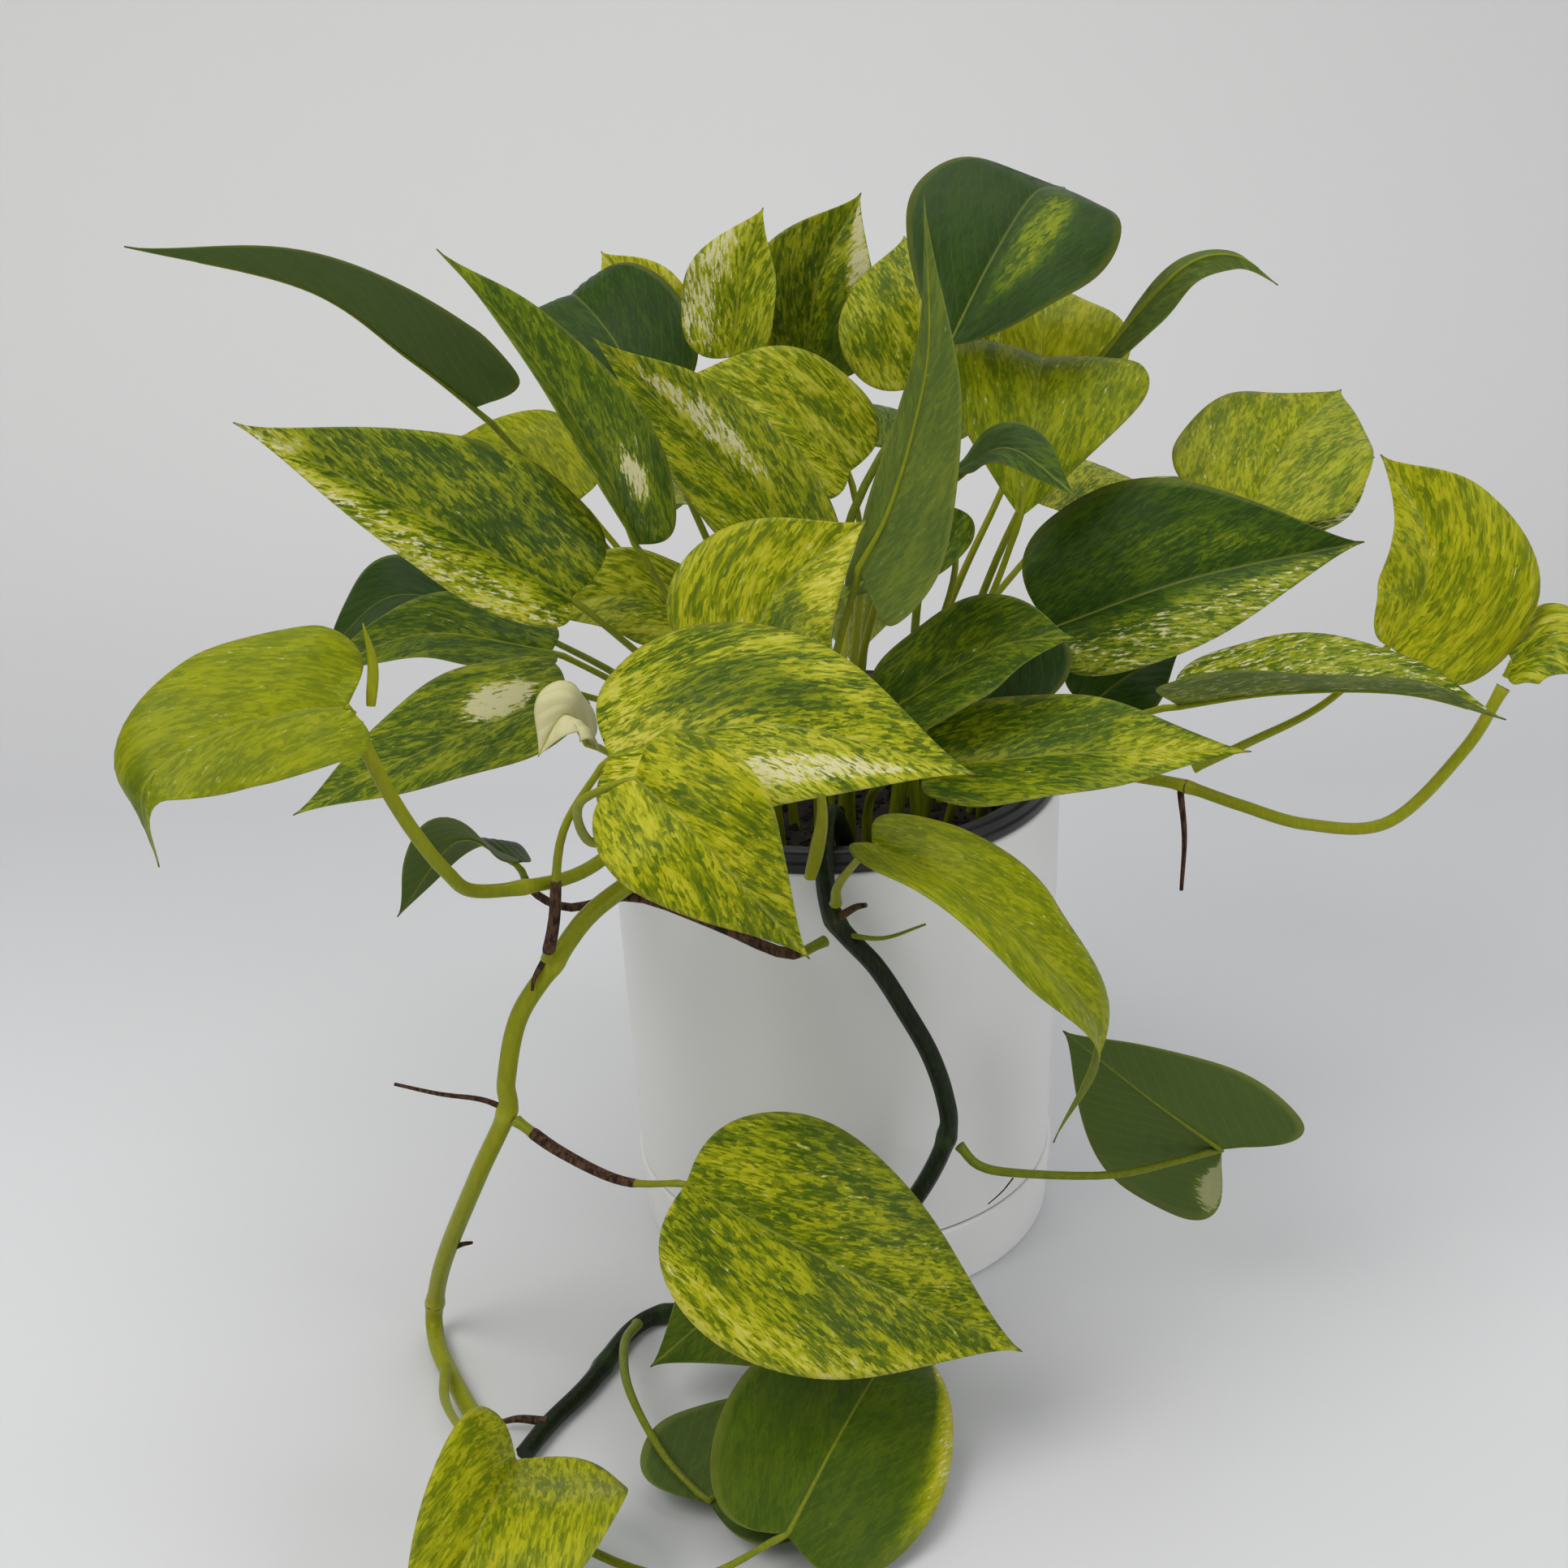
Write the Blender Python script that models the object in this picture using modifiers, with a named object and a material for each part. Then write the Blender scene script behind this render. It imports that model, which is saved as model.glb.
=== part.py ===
"""A golden pothos in a nursery pot, stood in a white cover pot on its saucer.

Metres, +Z up. The origin is the centre of the saucer's underside, on the surface that it stands on.
+X runs to the plant's right, and +Y away from its front, where two stems trail over the rim.
"""

import math

import bmesh
import bpy
from mathutils import Vector

# Cover pot and saucer
SAUCER_HEIGHT = 0.0285
SAUCER_FOOT_RADIUS = 0.0830
SAUCER_LIP_RADIUS = 0.0848
SAUCER_WALL = 0.0022
SAUCER_FLOOR = 0.0030
POT_HEIGHT = 0.1890
POT_RIM_RADIUS = 0.0870
POT_SEAM_RADIUS = 0.0838
POT_WALL = 0.0026
NEST_RADIUS = 0.0802

# Nursery pot and soil
NURSERY_RIM_HEIGHT = 0.0080
NURSERY_RIM_RADIUS = 0.0866
NURSERY_TOP_RADIUS = 0.0806
NURSERY_FOOT_RADIUS = 0.0620
NURSERY_WALL = 0.0012
NURSERY_FOOT_LIFT = 0.0120
SOIL_TOP = 0.1700

GAP = 0.0004
EDGE = 0.0010
ROUND_STEPS = 40
MERGE_DISTANCE = 0.00005

# Stems and unopened leaves
VINE_FOOT = SOIL_TOP + 2 * GAP
TRAILING_RADIUS = 0.0034
ARCHING_RADIUS = 0.0024
VINE_STEP = 0.012
TUBE_RESOLUTION = 2
SHOOT_RADIUS = 0.0026
SHOOT_RINGS = 7
SHOOT_TIP_SHARE = 0.15

# Leaf stalks: where they leave the soil, and how they bow on the way to their blade
ROOT_SPREAD = 0.34
ROOT_LIMIT = 0.060
STALK_FOOT = SOIL_TOP + GAP
STALK_FOOT_RADIUS = 0.0019
STALK_TIP_RADIUS = 0.0014
STALK_RISE = 0.40
STALK_LEAD = 0.30
STALK_LEAN = 0.60
STALK_POINTS = 5
STALK_RINGS = 4
STALK_SHORTFALL = 0.003

# Leaf blades: a ring holds the two edges, three points on top and three underneath
RING_POINTS = 8
BLADE_SHARES = (0.015, 0.09, 0.20, 0.34, 0.50, 0.66, 0.83, 1.0)
BASE_ROUNDNESS = 0.7
TIP_TAPER = 0.6
LOBE_POWER = 1.2
TIP_THINNING = 0.55
BLADE_THICKNESS = 0.0012
TIP_HALF_WIDTH = 0.0004

PARTS = "potted_pothos"

TINTS = {
    "dark": (0.030, 0.072, 0.012),
    "green": (0.075, 0.170, 0.014),
    "lime": (0.220, 0.330, 0.016),
    "yellow": (0.450, 0.440, 0.020),
    "pale": (0.560, 0.580, 0.300),
}

# Trailing stems, from the soil outwards.
VINES = {
    "vine_front_left": (
        (-0.030, -0.052, VINE_FOOT), (-0.030, -0.053, 0.184), (-0.035, -0.062, 0.200),
        (-0.042, -0.074, 0.206), (-0.051, -0.085, 0.204), (-0.065, -0.096, 0.198),
        (-0.084, -0.111, 0.190), (-0.097, -0.120, 0.176), (-0.110, -0.125, 0.158),
        (-0.116, -0.128, 0.135), (-0.117, -0.128, 0.122), (-0.130, -0.125, 0.094),
        (-0.149, -0.108, 0.047), (-0.158, -0.094, 0.016), (-0.159, -0.096, 0.0045),
        (-0.154, -0.112, 0.004), (-0.141, -0.139, 0.004), (-0.131, -0.157, 0.004),
    ),
    "vine_front_right": (
        (0.004, -0.054, VINE_FOOT), (0.004, -0.055, 0.184), (0.000, -0.065, 0.202), (-0.003, -0.080, 0.207),
        (-0.004, -0.092, 0.194), (-0.001, -0.097, 0.177), (0.013, -0.101, 0.160),
        (0.023, -0.104, 0.143), (0.031, -0.106, 0.127), (0.036, -0.107, 0.110),
        (0.037, -0.107, 0.095), (0.030, -0.105, 0.074), (0.016, -0.104, 0.050),
        (-0.003, -0.104, 0.022), (-0.022, -0.101, 0.007), (-0.045, -0.091, 0.004),
        (-0.068, -0.089, 0.004), (-0.083, -0.098, 0.004), (-0.097, -0.129, 0.004),
        (-0.109, -0.149, 0.004), (-0.117, -0.166, 0.004),
    ),
    "vine_right": (
        (0.056, -0.022, VINE_FOOT), (0.056, -0.023, 0.184), (0.063, -0.029, 0.202),
        (0.080, -0.042, 0.208), (0.111, -0.062, 0.211), (0.124, -0.070, 0.211),
        (0.141, -0.080, 0.208), (0.164, -0.085, 0.202), (0.192, -0.085, 0.202),
        (0.217, -0.080, 0.226), (0.230, -0.075, 0.247),
    ),
    "vine_left": (
        (-0.048, -0.044, VINE_FOOT), (-0.048, -0.045, 0.184), (-0.051, -0.056, 0.202),
        (-0.062, -0.086, 0.213), (-0.083, -0.115, 0.209), (-0.100, -0.130, 0.211),
        (-0.118, -0.140, 0.215), (-0.124, -0.150, 0.227), (-0.131, -0.156, 0.243),
        (-0.138, -0.160, 0.262), (-0.145, -0.160, 0.283),
    ),
}

# Unopened leaves, from their joint on a stem to their tip.
SHOOTS = {
    "shoot_front": ((-0.0090, -0.1010, 0.1960), (-0.0060, -0.1050, 0.2100), (-0.004, -0.109, 0.226),
                    (-0.006, -0.112, 0.252)),
    "shoot_left": ((-0.1410, -0.1520, 0.2860), (-0.1395, -0.1490, 0.2990), (-0.141, -0.149, 0.312)),
}


def leaf(rib, face, width, fold, tint, stalk=None, lobe=0.18, root=None, widest=0.37):
    """One leaf: its midrib from base to tip, the way its upper side looks, its width laid flat, how far
    each half folds up in degrees, its colour, the points of a stalk that grows from a vine, how deep its
    heart-shaped base is as a share of its length, where its stalk leaves the soil if that doesn't follow
    the rule, and how far up its length it is widest."""
    return {"rib": rib, "face": face, "width": width, "fold": fold, "tint": tint, "stalk": stalk,
            "lobe": lobe, "root": root, "widest": widest}


LEAVES = {
    "leaf_far_left": leaf(
        ((-0.125, 0.010, 0.335), (-0.146, 0.005, 0.355), (-0.179, 0.000, 0.382), (-0.239, -0.005, 0.400)),
        (0.45, 0.30, 0.85), 0.066, 42, "dark", root=(-0.0400, 0.0090)),
    "leaf_tall_left": leaf(
        ((-0.064, -0.060, 0.304), (-0.076, -0.055, 0.334), (-0.100, -0.045, 0.372), (-0.126, -0.035, 0.401)),
        (0.60, -0.50, 0.50), 0.050, 40, "green"),
    "leaf_back_left": leaf(
        ((-0.067, 0.060, 0.321), (-0.080, 0.075, 0.343), (-0.095, 0.095, 0.355), (-0.101, 0.120, 0.346)),
        (0.00, -0.70, 0.70), 0.062, 15, "dark"),
    "leaf_back_tip": leaf(
        ((-0.061, 0.100, 0.325), (-0.073, 0.105, 0.352), (-0.085, 0.110, 0.369)),
        (0.00, -0.90, 0.40), 0.040, 10, "yellow"),
    "leaf_big_left": leaf(
        ((-0.086, -0.075, 0.291), (-0.128, -0.090, 0.325), (-0.182, -0.110, 0.365)),
        (-0.10, -0.62, 0.78), 0.060, 24, "green"),
    "leaf_lime_back": leaf(
        ((-0.093, 0.030, 0.292), (-0.117, 0.045, 0.307), (-0.144, 0.060, 0.309)),
        (0.00, -0.75, 0.66), 0.044, 12, "lime"),
    "leaf_centre": leaf(
        ((-0.005, -0.015, 0.276), (-0.044, -0.012, 0.325), (-0.078, -0.020, 0.366)),
        (0.45, -0.75, 0.50), 0.050, 28, "lime"),
    "leaf_centre_back": leaf(
        ((0.010, 0.015, 0.304), (-0.019, 0.020, 0.328), (-0.055, 0.025, 0.338)),
        (0.25, -0.70, 0.66), 0.056, 20, "lime"),
    "leaf_top_a": leaf(
        ((-0.033, 0.056, 0.338), (-0.028, 0.060, 0.368), (-0.019, 0.065, 0.392)),
        (-0.45, -0.85, 0.25), 0.044, 30, "lime"),
    "leaf_top_b": leaf(
        ((-0.006, 0.075, 0.328), (0.001, 0.078, 0.362), (0.018, 0.082, 0.393)),
        (0.00, -0.95, 0.30), 0.058, 24, "lime"),
    "leaf_top_c": leaf(
        ((0.041, 0.040, 0.330), (0.037, 0.055, 0.360), (0.034, 0.082, 0.376)),
        (-0.10, -0.90, 0.40), 0.062, 12, "lime", root=(0.006, 0.026)),
    "leaf_crown": leaf(
        ((0.045, -0.020, 0.359), (0.061, 0.000, 0.383), (0.078, 0.026, 0.400), (0.092, 0.054, 0.397)),
        (-0.15, -0.80, 0.58), 0.076, 10, "dark",
        ((-0.004, -0.018, SOIL_TOP + GAP), (-0.003, -0.026, 0.230), (0.008, -0.038, 0.300),
         (0.033, -0.030, 0.343)), 0.04, widest=0.52),
    "leaf_twisted": leaf(
        ((0.011, -0.092, 0.303), (0.021, -0.091, 0.322), (0.030, -0.088, 0.350), (0.035, -0.086, 0.378),
         (0.034, -0.078, 0.421)),
        (0.85, 0.45, 0.10), 0.044, 50, "green", root=(-0.006, -0.034), widest=0.22),
    "leaf_yellow_back": leaf(
        ((0.083, 0.045, 0.327), (0.086, 0.060, 0.348), (0.090, 0.085, 0.356)),
        (0.00, -0.85, 0.50), 0.066, 10, "yellow"),
    "leaf_curled_tip": leaf(
        ((0.102, 0.030, 0.337), (0.122, 0.030, 0.361), (0.137, 0.028, 0.374), (0.152, 0.026, 0.375),
         (0.166, 0.024, 0.365)),
        (0.60, 0.50, -0.45), 0.017, 40, "green", root=(0.042, 0.010)),
    "leaf_bright_right": leaf(
        ((0.069, -0.030, 0.299), (0.074, -0.018, 0.327), (0.079, 0.004, 0.344), (0.084, 0.030, 0.340)),
        (0.00, -0.85, 0.50), 0.078, 14, "lime", lobe=0.04, root=(0.034, -0.002), widest=0.60),
    "leaf_arched": leaf(
        ((0.043, -0.062, 0.324), (0.061, -0.070, 0.336), (0.082, -0.088, 0.324)),
        (0.00, -0.35, 0.93), 0.030, 15, "dark", root=(0.030, -0.040)),
    "leaf_right_heart": leaf(
        ((0.156, 0.000, 0.291), (0.176, 0.030, 0.306), (0.202, 0.070, 0.313)),
        (-0.05, -0.45, 0.89), 0.074, 16, "lime", lobe=0.30),
    "leaf_right_back": leaf(
        ((0.174, 0.040, 0.272), (0.193, 0.045, 0.281), (0.213, 0.055, 0.290)),
        (0.00, -0.60, 0.80), 0.034, 20, "pale"),
    "leaf_big_right": leaf(
        ((0.080, -0.028, 0.256), (0.129, -0.036, 0.276), (0.189, -0.035, 0.287)),
        (-0.15, -0.65, 0.75), 0.076, 24, "dark", root=(0.034, -0.016)),
    "leaf_far_right": leaf(
        ((0.191, -0.072, 0.262), (0.202, -0.068, 0.281), (0.201, -0.062, 0.303), (0.187, -0.056, 0.325)),
        (0.10, -0.95, 0.20), 0.056, 14, "yellow",
        ((0.127, -0.0655, 0.216), (0.145, -0.068, 0.226), (0.169, -0.072, 0.241)), 0.12),
    "leaf_low_right": leaf(
        ((0.119, -0.076, 0.245), (0.151, -0.094, 0.256), (0.188, -0.106, 0.259), (0.220, -0.112, 0.251)),
        (0.00, -0.12, 0.99), 0.052, 34, "pale"),
    "leaf_edge_right": leaf(
        ((0.232, -0.075, 0.256), (0.245, -0.082, 0.264), (0.262, -0.092, 0.255)),
        (0.00, -0.60, 0.80), 0.034, 14, "lime",
        ((0.2312, -0.0747, 0.2508),)),
    "leaf_front_upright": leaf(
        ((-0.027, -0.100, 0.276), (-0.016, -0.090, 0.296), (0.014, -0.085, 0.318)),
        (-0.15, -0.80, 0.58), 0.064, 20, "lime", root=(-0.020, -0.030)),
    "leaf_front_centre": leaf(
        ((-0.071, -0.135, 0.259), (-0.019, -0.140, 0.270), (0.045, -0.150, 0.255)),
        (0.00, -0.55, 0.83), 0.080, 18, "green",
        ((-0.0985, -0.1240, 0.180), (-0.094, -0.130, 0.198), (-0.088, -0.134, 0.232))),
    "leaf_front_yellow": leaf(
        ((-0.060, -0.170, 0.267), (-0.042, -0.188, 0.257), (-0.029, -0.192, 0.242), (-0.009, -0.185, 0.211)),
        (-0.20, -0.80, 0.56), 0.052, 14, "yellow",
        ((-0.073, -0.1125, 0.2175), (-0.080, -0.136, 0.230), (-0.078, -0.163, 0.256)), 0.22),
    "leaf_left_low": leaf(
        ((-0.092, -0.060, 0.251), (-0.135, -0.085, 0.243), (-0.181, -0.110, 0.230)),
        (-0.10, -0.35, 0.93), 0.056, 16, "green"),
    "leaf_left_lime": leaf(
        ((-0.146, -0.162, 0.290), (-0.162, -0.170, 0.292), (-0.185, -0.178, 0.288), (-0.204, -0.186, 0.276),
         (-0.202, -0.190, 0.252)),
        (-0.35, -0.75, 0.56), 0.054, 8, "lime",
        ((-0.1457, -0.1614, 0.2875),), 0.30),
    "leaf_left_under": leaf(
        ((-0.108, -0.106, 0.208), (-0.129, -0.100, 0.214), (-0.153, -0.098, 0.184)),
        (-0.35, 0.70, 0.62), 0.044, 12, "green",
        ((-0.0045, -0.1040, 0.1725), (-0.018, -0.113, 0.173), (-0.042, -0.116, 0.187),
         (-0.070, -0.100, 0.190), (-0.092, -0.099, 0.186), (-0.104, -0.102, 0.194))),
    "leaf_hanging_right": leaf(
        ((0.012, -0.135, 0.225), (0.041, -0.150, 0.215), (0.064, -0.158, 0.195), (0.083, -0.158, 0.164),
         (0.070, -0.152, 0.119)),
        (0.50, -0.40, 0.75), 0.046, 26, "lime",
        ((-0.0005, -0.1020, 0.1860), (0.001, -0.112, 0.199))),
    "leaf_right_front": leaf(
        ((0.034, -0.095, 0.233), (0.082, -0.105, 0.241), (0.137, -0.115, 0.244)),
        (0.00, -0.35, 0.94), 0.050, 20, "green"),
    "leaf_inner_right": leaf(
        ((0.018, -0.078, 0.246), (0.055, -0.082, 0.270), (0.081, -0.094, 0.278)),
        (0.00, -0.50, 0.86), 0.046, 20, "green"),
    "leaf_inner_dark": leaf(
        ((0.068, -0.050, 0.262), (0.058, -0.066, 0.250), (0.036, -0.078, 0.236)),
        (-0.40, -0.60, 0.70), 0.044, 12, "dark"),
    "leaf_low_dark": leaf(
        ((0.096, -0.010, 0.217), (0.112, -0.005, 0.227), (0.133, 0.005, 0.233)),
        (0.00, -0.60, 0.80), 0.040, 14, "dark", root=(0.048, 0.022)),
    "leaf_left_dark": leaf(
        ((-0.134, 0.025, 0.253), (-0.166, 0.015, 0.261), (-0.193, 0.005, 0.240)),
        (-0.10, -0.30, 0.95), 0.046, 16, "dark"),
    "leaf_left_mid": leaf(
        ((-0.102, -0.015, 0.249), (-0.148, -0.020, 0.259), (-0.188, -0.030, 0.248)),
        (0.00, -0.35, 0.94), 0.040, 18, "green"),
    "leaf_inner_left": leaf(
        ((-0.045, -0.022, 0.262), (-0.075, -0.028, 0.274), (-0.105, -0.038, 0.272)),
        (0.00, -0.60, 0.80), 0.042, 14, "lime"),
    "leaf_trailing_big": leaf(
        ((-0.053, -0.168, 0.118), (-0.001, -0.180, 0.090), (0.058, -0.172, 0.048)),
        (0.15, -0.75, 0.65), 0.082, 10, "lime",
        ((-0.1135, -0.1305, 0.1200), (-0.097, -0.142, 0.114), (-0.075, -0.157, 0.112)), 0.10),
    "leaf_trailing_right": leaf(
        ((0.135, -0.110, 0.086), (0.110, -0.110, 0.107), (0.078, -0.105, 0.134)),
        (-0.20, 0.85, 0.48), 0.070, 6, "green",
        ((0.0410, -0.1100, 0.0905), (0.048, -0.112, 0.083), (0.062, -0.113, 0.080), (0.094, -0.113, 0.078),
         (0.116, -0.111, 0.081)), 0.62),
    "leaf_table_yellow": leaf(
        ((-0.113, -0.203, 0.034), (-0.120, -0.244, 0.040), (-0.146, -0.290, 0.005)),
        (-0.05, -0.35, 0.93), 0.084, 20, "yellow",
        ((-0.1500, -0.1260, 0.0110), (-0.146, -0.150, 0.014), (-0.130, -0.185, 0.026))),
    "leaf_table_front": leaf(
        ((-0.023, -0.228, 0.022), (-0.003, -0.190, 0.034), (0.015, -0.150, 0.034), (0.024, -0.118, 0.018)),
        (0.25, -0.30, 0.92), 0.082, -20, "dark",
        ((-0.1160, -0.1740, 0.0065), (-0.096, -0.214, 0.010), (-0.056, -0.238, 0.014))),
    "leaf_table_back": leaf(
        ((-0.008, -0.138, 0.056), (-0.040, -0.136, 0.046), (-0.073, -0.138, 0.018)),
        (0.10, -0.50, 0.86), 0.060, 10, "dark",
        ((0.0150, -0.1090, 0.0520), (0.006, -0.128, 0.056)), 0.10),
    "leaf_table_under": leaf(
        ((-0.050, -0.200, 0.010), (-0.028, -0.172, 0.010), (-0.006, -0.142, 0.006)),
        (0.00, 0.10, -0.99), 0.072, 2, "dark",
        ((-0.0805, -0.1035, 0.0105), (-0.084, -0.120, 0.014), (-0.080, -0.150, 0.018),
         (-0.066, -0.182, 0.016)), 0.34),
    "leaf_white_curl": leaf(
        ((-0.080, -0.108, 0.252), (-0.087, -0.112, 0.264), (-0.096, -0.118, 0.252)),
        (-0.30, -0.80, 0.50), 0.026, 30, "pale", root=(-0.036, -0.036)),
    "leaf_wavy": leaf(
        ((0.046, -0.006, 0.296), (0.028, -0.018, 0.284), (0.004, -0.030, 0.270)),
        (0.30, -0.50, 0.80), 0.034, 14, "green", root=(0.022, -0.010)),
    "leaf_rear_a": leaf(
        ((0.030, 0.105, 0.285), (0.038, 0.140, 0.290), (0.042, 0.180, 0.262)),
        (0.10, 0.45, 0.88), 0.068, 18, "green"),
    "leaf_rear_b": leaf(
        ((-0.045, 0.110, 0.262), (-0.060, 0.145, 0.262), (-0.078, 0.180, 0.230)),
        (-0.15, 0.45, 0.88), 0.070, 18, "lime"),
    "leaf_rear_c": leaf(
        ((0.098, 0.085, 0.262), (0.126, 0.110, 0.266), (0.160, 0.135, 0.240)),
        (0.30, 0.35, 0.88), 0.066, 20, "lime"),
    "leaf_rear_d": leaf(
        ((-0.105, 0.080, 0.245), (-0.140, 0.100, 0.246), (-0.178, 0.118, 0.218)),
        (-0.30, 0.35, 0.88), 0.064, 18, "green"),
    "leaf_rear_low": leaf(
        ((0.010, 0.118, 0.222), (0.012, 0.146, 0.205), (0.010, 0.172, 0.165)),
        (0.05, 0.75, 0.66), 0.060, 14, "yellow"),
}


def clear_scene():
    for thing in list(bpy.data.objects):
        bpy.data.objects.remove(thing, do_unlink=True)


def new_collection(name):
    collection = bpy.data.collections.new(name)
    bpy.context.scene.collection.children.link(collection)


def material(name, colour, roughness):
    """A plain non-metal finish."""
    made = bpy.data.materials.new(name)
    made.use_nodes = True
    shader = made.node_tree.nodes["Principled BSDF"]
    shader.inputs["Base Color"].default_value = (*colour, 1.0)
    shader.inputs["Roughness"].default_value = roughness
    shader.inputs["Metallic"].default_value = 0.0
    return made


def add_object(name, data, finish):
    data.materials.append(finish)
    thing = bpy.data.objects.new(name, data)
    bpy.data.collections[PARTS].objects.link(thing)
    return thing


def turned(name, profile, finish):
    """A solid of revolution from its half section, (radius, height) points that run down its outside.
    A section that starts and ends on the axis needs no edge there."""
    mesh = bpy.data.meshes.new(name)
    count = len(profile)
    on_axis = profile[0][0] == 0 and profile[-1][0] == 0
    edges = [(i, i + 1) for i in range(count - 1)] + ([] if on_axis else [(count - 1, 0)])
    mesh.from_pydata([(r, 0.0, z) for r, z in profile], edges, [])
    thing = add_object(name, mesh, finish)
    screw = thing.modifiers.new("Turn", "SCREW")
    screw.axis = "Z"
    screw.angle = math.tau
    screw.steps = ROUND_STEPS
    screw.render_steps = ROUND_STEPS
    screw.use_merge_vertices = True
    screw.merge_threshold = MERGE_DISTANCE
    screw.use_smooth_shade = True
    return thing


def path_point(points, share):
    """The point at a share of the way along a Catmull-Rom curve through the given ones."""
    knots = [Vector(p) for p in points]
    knots = [2 * knots[0] - knots[1], *knots, 2 * knots[-1] - knots[-2]]
    at = share * (len(points) - 1)
    k = min(int(at), len(points) - 2)
    t = at - k
    a, b, c, d = knots[k:k + 4]
    return 0.5 * (2 * b + (c - a) * t + (2 * a - 5 * b + 4 * c - d) * t * t
                  + (3 * b - a - 3 * c + d) * t ** 3)


def smooth_path(points, count):
    """Evenly shared points on the curve through the given ones."""
    return [path_point(points, i / (count - 1)) for i in range(count)]


def tangents(path):
    last = len(path) - 1
    return [(path[min(i + 1, last)] - path[max(i - 1, 0)]).normalized() for i in range(last + 1)]


def tube(name, path, radius, shares, finish):
    """A round tube along a path, whose radius at each point is a share of the widest."""
    curve = bpy.data.curves.new(name, "CURVE")
    curve.dimensions = "3D"
    curve.bevel_depth = radius
    curve.bevel_resolution = TUBE_RESOLUTION
    curve.use_fill_caps = True
    spline = curve.splines.new("POLY")
    spline.points.add(len(path) - 1)
    for point, place, share in zip(spline.points, path, shares):
        point.co = (*place, 1.0)
        point.radius = share
    return add_object(name, curve, finish)


def vine(name, route, finish):
    """A stem that hangs to the surface, or a thinner one that arches out over the rim."""
    length = sum((Vector(b) - Vector(a)).length for a, b in zip(route, route[1:]))
    path = smooth_path(route, 1 + round(length / VINE_STEP))
    radius = TRAILING_RADIUS if "front" in name else ARCHING_RADIUS
    return tube(name, path, radius, [1.0] * len(path), finish)


def shoot(name, points, finish):
    """An unopened leaf: a round spear, thickest a third of the way up and pointed at its tip."""
    path = smooth_path(points, SHOOT_RINGS)
    rise = (math.sin(math.pi * (0.2 + 0.8 * i / (SHOOT_RINGS - 1)) ** 0.8) for i in range(SHOOT_RINGS))
    shares = [SHOOT_TIP_SHARE + (1 - SHOOT_TIP_SHARE) * r for r in rise]
    return tube(name, path, SHOOT_RADIUS, shares, finish)


def half_width(u, widest):
    """The blade's half width at u of its length, as a share of the widest: round at the base and drawn
    out to the tip."""
    if u >= 1:
        return 0.0
    swell = math.sin(math.pi * u ** (math.log(0.5) / math.log(widest)))
    return swell ** (BASE_ROUNDNESS + TIP_TAPER * u)


def bezier(handles, t):
    a, b, c, d = handles
    return (1 - t) ** 3 * a + 3 * t * (1 - t) ** 2 * b + 3 * t * t * (1 - t) * c + t ** 3 * d


def stalk_path(shape, base, direction):
    """The stalk's points up to the blade: from a vine along its own ones, or up out of the soil."""
    if shape["stalk"]:
        return [Vector(p) for p in shape["stalk"]] + [base]
    flat = Vector((*shape["root"], 0)) if shape["root"] else Vector((base.x, base.y, 0)) * ROOT_SPREAD
    if flat.length > ROOT_LIMIT:
        flat *= ROOT_LIMIT / flat.length
    foot = Vector((flat.x, flat.y, STALK_FOOT))
    reach = (base - foot).length
    arrive = ((base - foot).normalized() + STALK_LEAN * direction).normalized()
    handles = (foot, foot + Vector((0, 0, STALK_RISE * reach)), base - STALK_LEAD * reach * arrive, base)
    return [bezier(handles, i / (STALK_POINTS - 1)) for i in range(STALK_POINTS)]


def leaf_across(shape):
    """The direction from the leaf's midrib to its right edge, seen from above with the tip up."""
    onward = path_point(shape["rib"], 0.55) - path_point(shape["rib"], 0.45)
    return onward.cross(Vector(shape["face"])).normalized()


def squared(side, tangent):
    """The side direction turned square to the tangent, and the upward one square to both."""
    side = (side - side.dot(tangent) * tangent).normalized()
    return side, side.cross(tangent)


def stalk_rings(shape, base, direction, across):
    """Round rings from the stalk's foot to just short of the blade, lined up with the blade's sides."""
    path = smooth_path(stalk_path(shape, base, direction), STALK_RINGS + 1)
    path[-1] = path[-1] - STALK_SHORTFALL * (path[-1] - path[-2]).normalized()
    directions = tangents(path)
    if abs(path[0].z - STALK_FOOT) < GAP / 10:
        directions[0] = Vector((0, 0, 1))
    side = across
    rings = []
    for i in reversed(range(len(path))):
        side, up = squared(side, directions[i])
        radius = STALK_FOOT_RADIUS + (STALK_TIP_RADIUS - STALK_FOOT_RADIUS) * i / STALK_RINGS
        turns = (math.pi - k * math.tau / RING_POINTS for k in range(RING_POINTS))
        rings.append([path[i] + radius * (math.cos(a) * side + math.sin(a) * up) for a in turns])
    return rings[::-1]


def blade_rings(shape, rib, along, across):
    """Thin lens rings from the blade's notched base to its tip, each half raised by the fold."""
    half = shape["width"] / 2
    length = sum((b - a).length for a, b in zip(rib, rib[1:]))
    fold = math.radians(shape["fold"])
    rings = []
    for u, centre, tangent in zip(BLADE_SHARES, rib, along):
        side, up = squared(across, tangent)
        reach = max(half * half_width(u, shape["widest"]), TIP_HALF_WIDTH)
        back = shape["lobe"] * length * (1 - u) ** 2
        thick = BLADE_THICKNESS * (1 - TIP_THINNING * u)

        def at(s, lift):
            out = abs(s)
            spread = side * (s * reach * math.cos(fold)) + up * (out * reach * math.sin(fold))
            drop = back * (out * reach / half) ** LOBE_POWER
            return centre + spread - tangent * drop + up * (lift * thick)

        rings.append([
            at(-1, 0), at(-0.5, 0.4), at(0, 0.5), at(0.5, 0.4),
            at(1, 0), at(0.5, -0.4), at(0, -0.5), at(-0.5, -0.4),
        ])
    return rings


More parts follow.
